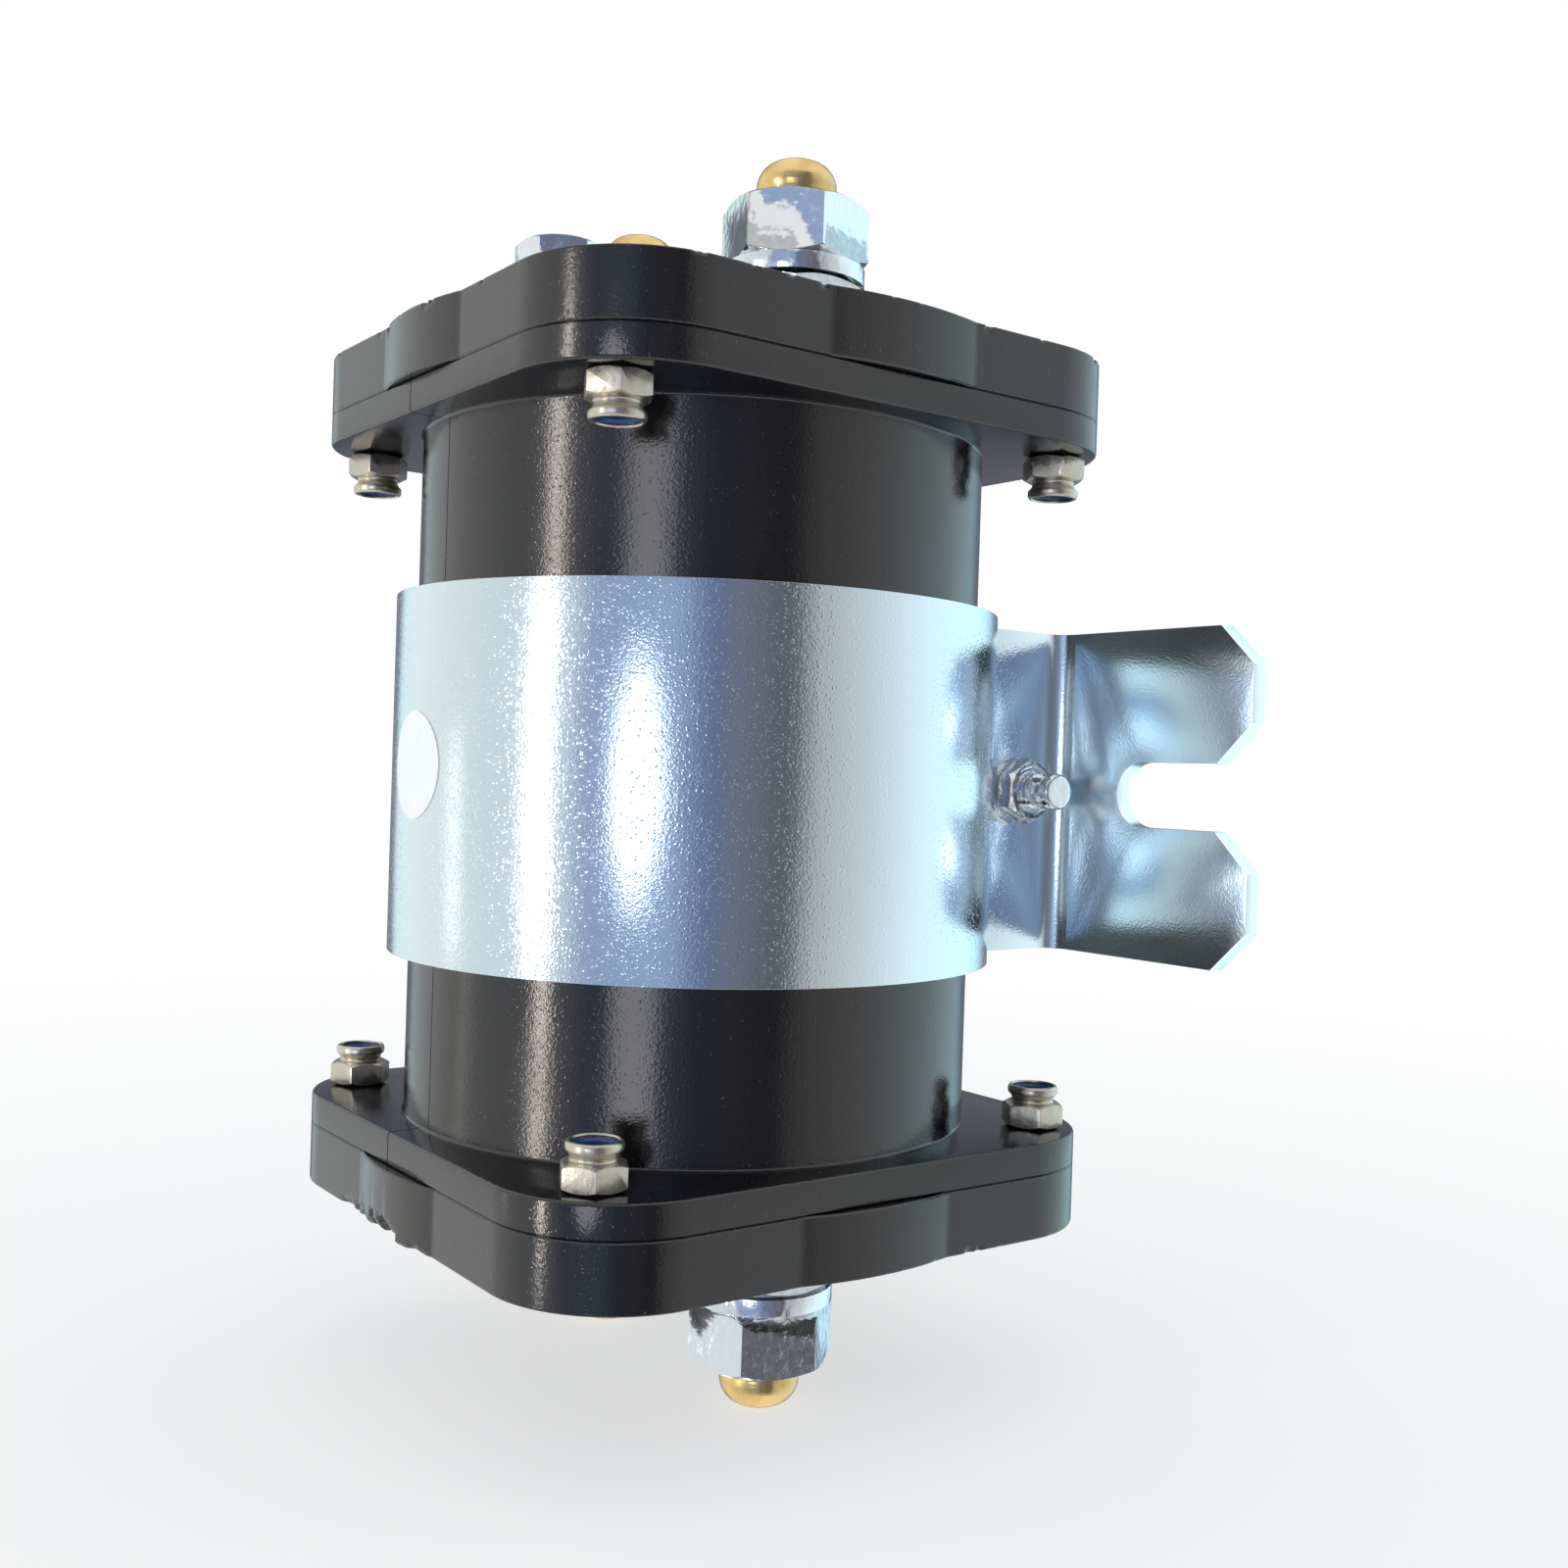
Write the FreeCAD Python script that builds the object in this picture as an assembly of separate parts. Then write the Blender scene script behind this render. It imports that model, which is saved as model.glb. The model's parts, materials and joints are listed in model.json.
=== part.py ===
import FreeCAD, Part
import math
import os

# Power solenoid: a two-ended contactor in a moulded case, held by a steel strap with two slotted ears.
# Sizes are in millimetres and angles in degrees. The solenoid's axis is parallel to Z, and the backs of the
# ears lie in the plane Y = 0. Inside the functions Z = 0 is mid-height and X = Y = 0 is the solenoid's axis,
# and export() moves each piece back.

# Shared by many pieces
fit_gap = 0.05
cut_over = 1.0
edge_tolerance = 0.001
nut_face_share = 0.95
nut_chamfer_angle = 30.0
nut_lead_in_share = 0.08
washer_split_share = 0.12
spring_runs_per_turn = 10

# Moulded case: a tube with a rounded square flange at each end
tube_radius = 36.9
case_wall = 3.9
case_half_height = 47.4
flange_thickness = 4.0
flange_overhang = 4.0
flange_corner_radius = 15.3
flange_root_radius = 0.4
moulded_edge_radius = 0.6
joint_edge = 0.25

# End caps: the flange's outline with a round lobe in the middle of each side
cap_thickness = 7.8
cap_lobe_rise = 1.4
cap_lobe_blend = 3.0
cap_pocket_radius = 8.0
cap_pocket_depth = 5.0
terminal_hole_gap = 0.15

# Corner screws with nylon insert lock nuts
screw_edge_distance = 5.4
screw_radius = 2.0
screw_hole_gap = 0.25
screw_head_radius = 3.9
screw_head_height = 2.6
screw_recess_gap = 0.5
screw_recess_depth = 2.2
screw_end_cover = 1.2
screw_end_chamfer = 0.4
screw_head_chamfer = 0.8
screw_turn = 20.0
drive_width = 1.0
drive_depth = 1.4
drive_share = 0.62
lock_nut_flats = 7.0
lock_nut_hex_height = 3.3
lock_nut_height = 5.4
lock_nut_collar_radius = 3.2
lock_nut_lip = 0.4
lock_nut_neck_radius = 2.85
lock_nut_neck_height = 0.35
lock_nut_flare_height = 0.8
lock_nut_turn = 30.0
insert_height = 1.0
insert_wall = 0.7
insert_clearance = 0.02

# Strap: a sheet steel band round the tube, two legs behind it and two ears with open slots
strap_gap = 0.2
strap_sheet = 2.5
strap_width = 45.2
leg_outside = 16.5
leg_root_radius = 3.0
ear_bend_radius = 3.0
ear_set_back = 14.4
ear_reach = 50.7
slot_width = 9.0
slot_bottom = 28.3
prong_chamfer_along = 5.4
prong_chamfer_across = 5.2

# Clamp bolt that draws the legs together
clamp_radius = 2.5
clamp_hole_gap = 0.25
clamp_from_ear = 8.2
clamp_flats = 8.0
clamp_head_height = 3.5
clamp_nut_height = 2.7
clamp_washer_thickness = 0.8
clamp_washer_radius = 4.4
clamp_free_end = 5.3
clamp_end_chamfer = 0.5
clamp_split_angle = 140.0

# Round label
label_radius = 6.5
label_thickness = 0.12
label_height = 1.0
label_turn = -2.0

# Main terminals: brass studs, one pair at each end
stud_inset = 14.2
stud_radius = 5.0
stud_head_radius = 8.5
stud_head_height = 3.0
stud_head_chamfer = 0.5
stud_free_end = 5.3
stud_end_rounding = 3.2
main_flats = 16.0
main_nut_height = 8.0
main_lower_nut_height = 5.0
main_washer_radius = 10.0
main_washer_thickness = 1.6
main_spring_washer_radius = 8.8
main_spring_washer_thickness = 2.1
main_split_angle = 100.0
outer_nut_turn = {"top": 45.0, "bottom": 10.5}
lower_nut_turn = 25.0

# Coil terminals on the top cap
coil_stud_inset = 3.0
coil_stud_radius = 3.0
coil_head_radius = 4.5
coil_head_height = 2.4
coil_flats = 10.0
coil_nut_height = 5.1
coil_lower_nut_height = 3.2
coil_washer_radius = 6.0
coil_washer_thickness = 1.6
coil_spring_washer_radius = 5.2
coil_spring_washer_thickness = 1.6
coil_free_end = 0.3
coil_stud_chamfer = 0.3
coil_nut_turn = 4.0
coil_lower_nut_turn = 15.0
coil_split_angle = 200.0

# Magnet: yoke tube, pole plates, coil, fixed core and guide tube
insert_gap = 0.2
contact_room = 19.9
pole_plate_thickness = 4.0
yoke_wall = 2.5
bobbin_wall = 1.5
bobbin_flange = 1.8
bobbin_gap = 1.3
winding_inset = 1.5
guide_wall = 0.5
guide_lip_width = 2.5
guide_lip_thickness = 1.0
core_length = 21.0
core_neck_radius = 8.0
spacer_wall = 3.3
lead_radius = 0.6
lead_inset = 2.0
lead_hole_gap = 0.5

# Plunger, push rod and contact bridges
travel = 3.4
rest_gap = 0.1
pole_gap = 0.3
plunger_radius = 10.8
plunger_gap = 0.1
plunger_overhang = 3.0
plunger_chamfer = 0.6
rod_radius = 3.0
rod_gap = 0.06
rod_end_length = 0.9
rod_chamfer = 0.5
rod_nut_flats = 10.0
rod_nut_height = 3.2
rod_nut_turn = 30.0
bush_radius = 4.5
core_bush_length = 13.5
bush_recess = 1.0
spring_pocket_radius = 7.0
plunger_pocket_depth = 8.8
return_spring_radius = 5.6
return_spring_wire = 1.3
return_spring_turns = 6
bridge_thickness = 2.5
bridge_width = 14.0
bridge_overlap = 6.5
insulator_radius = 6.5
insulator_thickness = 1.0
contact_spring_radius = 5.0
contact_spring_wire = 1.0
contact_spring_turns = 3
contact_spring_length = 6.2
spring_seat_radius = 6.0
spring_seat_thickness = 1.0
clip_radius = 4.8
clip_thickness = 0.8
clip_groove = 0.5
clip_clearance = 0.02
clip_mouth_width = 3.6

# Sizes that follow from the ones above
bore_radius = tube_radius - case_wall
flange_half_width = tube_radius + flange_overhang
cap_lobe_radius = flange_half_width + cap_lobe_rise
flange_under = case_half_height - flange_thickness
cap_face = case_half_height + cap_thickness
corner_centre = flange_half_width - flange_corner_radius
screw_place = corner_centre + (flange_corner_radius - screw_edge_distance) / math.sqrt(2)
screw_seat = cap_face - screw_recess_depth
strap_radius = tube_radius + strap_gap + strap_sheet
stand_off = strap_radius + ear_set_back
ear_front = stand_off - strap_sheet
clamp_place = ear_front - clamp_from_ear
stud_offset = bore_radius - stud_inset
main_washer_top = cap_face + main_washer_thickness
main_lower_nut_top = main_washer_top + main_lower_nut_height
main_nut_low = main_lower_nut_top + main_spring_washer_thickness
main_nut_top = main_nut_low + main_nut_height
stud_tip = main_nut_top + stud_free_end
coil_washer_top = cap_face + coil_washer_thickness
coil_lower_nut_top = coil_washer_top + coil_lower_nut_height
coil_nut_low = coil_lower_nut_top + coil_spring_washer_thickness
coil_nut_top = coil_nut_low + coil_nut_height
contact_face = case_half_height - stud_head_height
plate_face = case_half_height - contact_room
coil_half_height = plate_face - pole_plate_thickness
insert_radius = bore_radius - insert_gap
bobbin_radius = insert_radius - yoke_wall - bobbin_gap
winding_radius = bobbin_radius - winding_inset
lead_offset = winding_radius - lead_inset
coil_offset = lead_offset - coil_stud_inset
core_low = plate_face - core_length
core_bush_low = plate_face - core_bush_length
plunger_low = -plate_face - plunger_overhang
guide_bore = plunger_radius + plunger_gap
guide_radius = guide_bore + guide_wall
core_radius = guide_bore - fit_gap
bobbin_bore = guide_radius + fit_gap
bobbin_core = bobbin_bore + bobbin_wall
plunger_high = core_low - travel - pole_gap
bush_hole = bush_radius + fit_gap
rod_hole = rod_radius + rod_gap
spring_stop = core_bush_low - bush_recess
spring_room = contact_spring_length + 2 * fit_gap

origin = FreeCAD.Vector(0, 0, 0)
x_axis = FreeCAD.Vector(1, 0, 0)
y_axis = FreeCAD.Vector(0, 1, 0)
z_axis = FreeCAD.Vector(0, 0, 1)
corners = [(1, 1), (-1, 1), (-1, -1), (1, -1)]


def point(x, y, z=0.0):
    return FreeCAD.Vector(x, y, z)


def export(shape, node):
    placed = shape.copy()
    placed.translate(point(0, -stand_off, 0))
    placed.exportStep(os.path.join("parts", node + ".step"))


def group(shapes):
    return Part.makeCompound(shapes)


def below(shape):
    # The same piece at the lower end
    return shape.mirror(origin, z_axis)


def disc(radius, low, high, x=0.0, y=0.0):
    return Part.makeCylinder(radius, high - low, point(x, y, low), z_axis)


def ring(outer, inner, low, high, x=0.0, y=0.0):
    return disc(outer, low, high, x, y).cut(disc(inner, low, high, x, y))


def turned(profile, x=0.0, y=0.0):
    # A closed outline of radius and height points, turned about an upright axis
    wire = Part.makePolygon([point(r, 0, z) for r, z in profile + profile[:1]])
    shape = Part.Face(wire).revolve(origin, z_axis, 360)
    shape.translate(point(x, y, 0))
    return shape


def rounded_square(half, radius, low, high):
    box = Part.makeBox(2 * half, 2 * half, high - low, point(-half, -half, low))
    upright = [e for e in box.Edges if e.BoundBox.ZLength > (high - low) / 2]
    return box.makeFillet(radius, upright)


def edges_at(shape, height, reach):
    # Edges that lie level at this height and further than reach from the axis all along
    found = []
    for edge in shape.Edges:
        places = [edge.valueAt(t) for t in edge_steps(edge)]
        level = all(abs(p.z - height) < edge_tolerance for p in places)
        if level and min(math.hypot(p.x, p.y) for p in places) > reach:
            found.append(edge)
    return found


def edge_steps(edge):
    first, last = edge.ParameterRange
    return [first, (first + last) / 2, last]


def hexagon(flats, low, high, turn, chamfer_low=True, chamfer_high=True):
    # A hexagonal prism on the Z axis whose corners are turned off to a cone
    reach = flats / math.sqrt(3)
    face_radius = flats / 2 * nut_face_share
    drop = (reach - face_radius) * math.tan(math.radians(nut_chamfer_angle))
    angles = [math.radians(turn + 60 * i) for i in range(7)]
    wire = Part.makePolygon([point(reach * math.cos(a), reach * math.sin(a), low) for a in angles])
    prism = Part.Face(wire).extrude(point(0, 0, high - low))
    profile = [(0, low)]
    profile += [(face_radius, low), (reach, low + drop)] if chamfer_low else [(reach, low)]
    profile += [(reach, high - drop), (face_radius, high)] if chamfer_high else [(reach, high)]
    profile += [(0, high)]
    return prism.common(turned(profile))


def hex_nut(flats, bore, low, high, turn, x=0.0, y=0.0):
    lead_in = bore * nut_lead_in_share
    body = hexagon(flats, low, high, turn)
    hole = turned([(0, low), (bore + lead_in, low), (bore, low + lead_in), (bore, high - lead_in),
                   (bore + lead_in, high), (0, high)])
    nut = body.cut(hole)
    nut.translate(point(x, y, 0))
    return nut


def spring_washer(outer, inner, low, high, split_angle, x=0.0, y=0.0):
    width = outer * washer_split_share
    split = Part.makeBox(outer + cut_over, width, high - low, point(0, -width / 2, low))
    split.rotate(origin, z_axis, split_angle)
    washer = ring(outer, inner, low, high).cut(split)
    washer.translate(point(x, y, 0))
    return washer


def coil_spring(radius, wire, turns, low, high):
    # Round wire wound round the Z axis between two levels, as short runs from one section to the next
    rise = high - low - wire
    along = point(0, 2 * math.pi * radius, rise / turns)
    steps = turns * spring_runs_per_turn
    sections = []
    for step in range(steps + 1):
        section = Part.Wire(Part.makeCircle(wire / 2, point(radius, 0), along))
        section.rotate(origin, z_axis, 360 * turns * step / steps)
        section.translate(point(0, 0, low + wire / 2 + rise * step / steps))
        sections.append(section)
    faces = [Part.makeRuledSurface(a.Edges[0], b.Edges[0]) for a, b in zip(sections[:-1], sections[1:])]
    shell = Part.makeShell(faces + [Part.Face(sections[0]), Part.Face(sections[-1])])
    shell.sewShape()
    spring = Part.makeSolid(Part.makeShell(shell.Faces))
    if spring.Volume < 0:
        spring.reverse()
    return spring


def screw_places():
    return [(sx * screw_place, sy * screw_place) for sx, sy in corners]


def coil_housing():
    outside = disc(tube_radius, -case_half_height, case_half_height)
    for low in (-case_half_height, flange_under):
        flange = rounded_square(flange_half_width, flange_corner_radius, low, low + flange_thickness)
        outside = outside.fuse(flange)
    outside = outside.removeSplitter()
    roots = [e for e in outside.Edges if round_edge(e, tube_radius, flange_under)]
    outside = outside.makeFillet(flange_root_radius, roots)
    rim_reach = tube_radius + 2 * flange_root_radius
    rims = edges_at(outside, flange_under, rim_reach) + edges_at(outside, -flange_under, rim_reach)
    outside = outside.makeFillet(moulded_edge_radius, rims)
    for level in (-case_half_height, case_half_height):
        outside = outside.makeChamfer(joint_edge, edges_at(outside, level, tube_radius))
    body = outside.cut(disc(bore_radius, -case_half_height, case_half_height))
    for x, y in screw_places():
        body = body.cut(disc(screw_radius + screw_hole_gap, -case_half_height, case_half_height, x, y))
    return body


def round_edge(edge, radius, height):
    places = [edge.valueAt(t) for t in edge_steps(edge)]
    round_it = all(abs(math.hypot(p.x, p.y) - radius) < edge_tolerance for p in places)
    return round_it and all(abs(abs(p.z) - height) < edge_tolerance for p in places)


def cap_blank():
    blank = rounded_square(flange_half_width, flange_corner_radius, case_half_height, cap_face)
    blank = blank.fuse(disc(cap_lobe_radius, case_half_height, cap_face)).removeSplitter()
    reach = math.sqrt(cap_lobe_radius ** 2 - flange_half_width ** 2)
    creases = [e for e in blank.Edges if crease_edge(e, reach)]
    blank = blank.makeFillet(cap_lobe_blend, creases)
    blank = blank.makeChamfer(joint_edge, edges_at(blank, case_half_height, tube_radius))
    return blank.makeFillet(moulded_edge_radius, edges_at(blank, cap_face, tube_radius))


def crease_edge(edge, reach):
    # The upright line where a lobe meets the flat side
    ends = [edge.valueAt(t) for t in edge_steps(edge)]
    foot = point(ends[0].x, ends[0].y)
    upright = all((point(p.x, p.y) - foot).Length < edge_tolerance for p in ends)
    near = sorted([abs(foot.x), abs(foot.y)])
    crease = abs(near[0] - reach) < edge_tolerance and abs(near[1] - flange_half_width) < edge_tolerance
    return upright and crease


def end_cap(coil_terminals):
    cap = cap_blank()
    for x, y in screw_places():
        cap = cap.cut(disc(screw_radius + screw_hole_gap, case_half_height, cap_face, x, y))
        cap = cap.cut(disc(screw_head_radius + screw_recess_gap, screw_seat, cap_face, x, y))
    for x in (-stud_offset, stud_offset):
        cap = cap.cut(disc(stud_radius + terminal_hole_gap, case_half_height, cap_face, x))
    if coil_terminals:
        for y in (-coil_offset, coil_offset):
            cap = cap.cut(disc(coil_stud_radius + terminal_hole_gap, case_half_height, cap_face, 0, y))
    return cap.cut(disc(cap_pocket_radius, case_half_height, case_half_height + cap_pocket_depth))


def cap_screw(x, y):
    tip = flange_under - lock_nut_height + screw_end_cover
    head_top = screw_seat + screw_head_height
    profile = [(0, tip), (screw_radius - screw_end_chamfer, tip), (screw_radius, tip + screw_end_chamfer),
               (screw_radius, screw_seat), (screw_head_radius, screw_seat),
               (screw_head_radius, head_top - screw_head_chamfer),
               (screw_head_radius - screw_head_chamfer, head_top), (0, head_top)]
    screw = turned(profile)
    arm = screw_head_radius * drive_share
    for along, across in ((arm, drive_width / 2), (drive_width / 2, arm)):
        corner = point(-along, -across, head_top - drive_depth)
        screw = screw.cut(Part.makeBox(2 * along, 2 * across, drive_depth, corner))
    screw.rotate(origin, z_axis, screw_turn)
    screw.translate(point(x, y, 0))
    return screw


def lock_nut(x, y):
    # The hexagon bears on the flange, and a collar with a narrow neck points away from it
    seat = flange_under
    collar_low = seat - lock_nut_hex_height
    tip = seat - lock_nut_height
    bore = screw_radius + fit_gap
    body = hexagon(lock_nut_flats, collar_low, seat, lock_nut_turn, True, False)
    lip_inner = bore + insert_wall
    neck_low = collar_low - lock_nut_neck_height
    collar = turned([(0, seat), (lock_nut_neck_radius, seat), (lock_nut_neck_radius, neck_low),
                     (lock_nut_collar_radius, neck_low - lock_nut_flare_height),
                     (lock_nut_collar_radius, tip + lock_nut_lip),
                     (lock_nut_collar_radius - lock_nut_lip, tip), (0, tip)])
    hollow = turned([(0, seat), (bore, seat), (bore, tip + insert_height + lock_nut_lip),
                     (lip_inner, tip + insert_height + lock_nut_lip), (lip_inner, tip), (0, tip)])
    nut = body.fuse(collar).cut(hollow)
    nut.translate(point(x, y, 0))
    return nut


def nylon_insert(x, y):
    low = flange_under - lock_nut_height + lock_nut_lip
    bore = screw_radius + fit_gap
    high = low + insert_height - insert_clearance
    return ring(bore + insert_wall - insert_clearance, bore, low, high, x, y)


def strap_side(offset, side):
    # The strap's path from the front of the band to the ear's tip, moved outwards by offset, from above
    middle = strap_radius - strap_sheet / 2
    leg = leg_outside - strap_sheet / 2
    root = leg_root_radius + strap_sheet / 2
    bend = ear_bend_radius + strap_sheet / 2
    ear = ear_front + strap_sheet / 2
    turn = math.acos((leg + root) / (middle + root))
    root_centre = point((middle + root) * math.cos(turn), (middle + root) * math.sin(turn))
    bend_centre = point(leg + bend, ear - bend)
    band = arc(origin, middle + offset, -math.pi / 2, turn)
    leg_root = arc(root_centre, root - offset, turn + math.pi, math.pi)
    ear_root = arc(bend_centre, bend - offset, math.pi, math.pi / 2)
    leg_line = Part.LineSegment(leg_root.EndPoint, ear_root.StartPoint)
    tip = point(ear_reach, ear - offset)
    ear_line = Part.LineSegment(ear_root.EndPoint, tip)
    edges = [part.toShape() for part in (band, leg_root, leg_line, ear_root, ear_line)]
    if side < 0:
        edges = [e.mirror(origin, x_axis) for e in edges]
    return edges, point(side * tip.x, tip.y)


def arc(centre, radius, start, end):
    def at(angle):
        return centre + point(radius * math.cos(angle), radius * math.sin(angle))
    return Part.Arc(at(start), at((start + end) / 2), at(end))


def strap_blank():
    outline = []
    tips = {}
    for side in (1, -1):
        for offset in (strap_sheet / 2, -strap_sheet / 2):
            edges, tips[(side, offset > 0)] = strap_side(offset, side)
            outline += edges
        outline.append(Part.makeLine(tips[(side, True)], tips[(side, False)]))
    wire = Part.Wire(Part.sortEdges(outline)[0])
    blank = Part.Face(wire).extrude(point(0, 0, strap_width))
    blank.translate(point(0, 0, -strap_width / 2))
    return blank


def mounting_strap():
    strap = strap_blank()
    deep = strap_sheet + 2 * cut_over
    before = ear_front - cut_over
    slot_centre = slot_bottom + slot_width / 2
    reach = ear_reach - slot_centre + cut_over
    for side in (1, -1):
        slot = Part.makeCylinder(slot_width / 2, deep, point(side * slot_centre, before), y_axis)
        start = slot_centre if side > 0 else -slot_centre - reach
        mouth = Part.makeBox(reach, deep, slot_width, point(start, before, -slot_width / 2))
        strap = strap.cut(slot).cut(mouth)
        for level, inward in prong_corners():
            strap = strap.cut(prong_corner(side, level, inward, deep))
    start = point(-2 * leg_outside, clamp_place)
    hole = Part.makeCylinder(clamp_radius + clamp_hole_gap, 4 * leg_outside, start, x_axis)
    return strap.cut(hole)


def prong_corners():
    # Each corner's height and the way to the prong's middle
    half = strap_width / 2
    mouth = slot_width / 2
    return [(half, -1), (mouth, 1), (-mouth, -1), (-half, 1)]


def prong_corner(side, level, inward, deep):
    tip = side * ear_reach
    along = -side * prong_chamfer_along
    across = inward * prong_chamfer_across
    before = ear_front - cut_over
    wire = Part.makePolygon([point(tip, before, level), point(tip + along, before, level),
                             point(tip, before, level + across), point(tip, before, level)])
    return Part.Face(wire).extrude(point(0, deep, 0))


def along_x(shape, x):
    # A piece made on the Z axis, laid along X at the clamp bolt
    laid = shape.copy()
    laid.rotate(origin, y_axis, 90)
    laid.translate(point(x, clamp_place, 0))
    return laid


def clamp_bolt():
    nut_end = leg_outside + clamp_washer_thickness + clamp_nut_height
    length = leg_outside + nut_end + clamp_free_end
    chamfer = clamp_end_chamfer
    shank = turned([(0, 0), (clamp_radius, 0), (clamp_radius, length - chamfer),
                    (clamp_radius - chamfer, length), (0, length)])
    head = hexagon(clamp_flats, -clamp_head_height, 0, 0, True, False)
    return along_x(head.fuse(shank), -leg_outside)


def clamp_washer():
    bore = clamp_radius + fit_gap
    washer = spring_washer(clamp_washer_radius, bore, 0, clamp_washer_thickness, clamp_split_angle)
    return along_x(washer, leg_outside)


def clamp_nut():
    nut = hex_nut(clamp_flats, clamp_radius + fit_gap, 0, clamp_nut_height, 0)
    return along_x(nut, leg_outside + clamp_washer_thickness)


def round_label():
    skin = ring(strap_radius + label_thickness, strap_radius, -label_radius * 2, label_radius * 2)
    punch = Part.makeCylinder(label_radius, strap_radius * 2, point(0, 0, label_height), point(0, -1, 0))
    label = skin.common(punch)
    label.rotate(origin, z_axis, label_turn)
    return label


def main_stud(x):
    profile = [(0, contact_face), (stud_head_radius - stud_head_chamfer, contact_face),
               (stud_head_radius, contact_face + stud_head_chamfer), (stud_head_radius, case_half_height),
               (stud_radius, case_half_height), (stud_radius, stud_tip), (0, stud_tip)]
    stud = turned(profile)
    stud = stud.makeFillet(stud_end_rounding, edges_at(stud, stud_tip, stud_radius / 2))
    stud.translate(point(x, 0))
    return stud


def main_washer(x):
    return ring(main_washer_radius, stud_radius + fit_gap, cap_face, main_washer_top, x)


def main_lower_nut(x):
    return hex_nut(main_flats, stud_radius + fit_gap, main_washer_top, main_lower_nut_top, lower_nut_turn, x)


def main_spring_washer(x):
    inner = stud_radius + fit_gap
    low = main_lower_nut_top
    return spring_washer(main_spring_washer_radius, inner, low, main_nut_low, main_split_angle, x)


def main_outer_nut(x, end):
    return hex_nut(main_flats, stud_radius + fit_gap, main_nut_low, main_nut_top, outer_nut_turn[end], x)


def coil_stud(y):
    tip = coil_nut_top + coil_free_end
    head_low = case_half_height - coil_head_height
    profile = [(0, head_low), (coil_head_radius, head_low), (coil_head_radius, case_half_height),
               (coil_stud_radius, case_half_height), (coil_stud_radius, tip - coil_stud_chamfer),
               (coil_stud_radius - coil_stud_chamfer, tip), (0, tip)]
    return turned(profile, 0, y)


def coil_washer(y):
    return ring(coil_washer_radius, coil_stud_radius + fit_gap, cap_face, coil_washer_top, 0, y)


def coil_lower_nut(y):
    bore = coil_stud_radius + fit_gap
    return hex_nut(coil_flats, bore, coil_washer_top, coil_lower_nut_top, coil_lower_nut_turn, 0, y)


def coil_spring_washer(y):
    inner = coil_stud_radius + fit_gap
    low = coil_lower_nut_top
    return spring_washer(coil_spring_washer_radius, inner, low, coil_nut_low, coil_split_angle, 0, y)


def coil_outer_nut(y):
    return hex_nut(coil_flats, coil_stud_radius + fit_gap, coil_nut_low, coil_nut_top, coil_nut_turn, 0, y)


def yoke_tube():
    return ring(insert_radius, insert_radius - yoke_wall, -coil_half_height, coil_half_height)


def top_pole_plate():
    plate = ring(insert_radius, core_neck_radius + fit_gap, coil_half_height, plate_face)
    for y in (-lead_offset, lead_offset):
        plate = plate.cut(disc(lead_radius + lead_hole_gap, coil_half_height, plate_face, 0, y))
    return plate


def bottom_pole_plate():
    return ring(insert_radius, guide_radius + fit_gap, -plate_face, -coil_half_height)


def bobbin():
    end = coil_half_height - fit_gap
    inner = end - bobbin_flange
    spool = turned([(bobbin_bore, -end), (bobbin_radius, -end), (bobbin_radius, -inner),
                    (bobbin_core, -inner), (bobbin_core, inner), (bobbin_radius, inner),
                    (bobbin_radius, end), (bobbin_bore, end)])
    for y in (-lead_offset, lead_offset):
        spool = spool.cut(disc(lead_radius + lead_hole_gap, inner, end, 0, y))
    return spool


def winding():
    half = coil_half_height - fit_gap - bobbin_flange
    return ring(winding_radius, bobbin_core + fit_gap, -half + fit_gap, half - fit_gap)


def coil_lead(y):
    low = coil_half_height - fit_gap - bobbin_flange - fit_gap
    return disc(lead_radius, low, case_half_height - coil_head_height, 0, y)


def guide_tube():
    lip = guide_radius + guide_lip_width
    low = -plate_face - guide_lip_thickness
    return turned([(guide_bore, low), (lip, low), (lip, -plate_face), (guide_radius, -plate_face),
                   (guide_radius, coil_half_height), (guide_bore, coil_half_height)])


def fixed_core():
    return turned([(spring_pocket_radius, core_low), (core_radius, core_low), (core_radius, coil_half_height),
                   (core_neck_radius, coil_half_height), (core_neck_radius, plate_face),
                   (bush_hole, plate_face), (bush_hole, spring_stop), (spring_pocket_radius, spring_stop)])


def core_bush():
    return ring(bush_radius, rod_hole, core_bush_low, plate_face)


def spacer_ring():
    return ring(insert_radius, insert_radius - spacer_wall, plate_face, case_half_height)


def plunger():
    pocket_low = plunger_high - plunger_pocket_depth
    hole = rod_radius + fit_gap
    return turned([(hole, plunger_low), (plunger_radius - plunger_chamfer, plunger_low),
                   (plunger_radius, plunger_low + plunger_chamfer), (plunger_radius, plunger_high),
                   (spring_pocket_radius, plunger_high), (spring_pocket_radius, pocket_low),
                   (hole, pocket_low)])


def bridge_top(end):
    # Height of the bridge's contact side above mid-height, at rest
    return contact_face - rest_gap - (travel if end == "top" else 0)


def spring_seat_top(end):
    return bridge_top(end) - bridge_thickness - insulator_thickness - spring_room


def rod_end(end):
    return bridge_top(end) + insulator_thickness + fit_gap + rod_nut_height + rod_end_length


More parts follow.
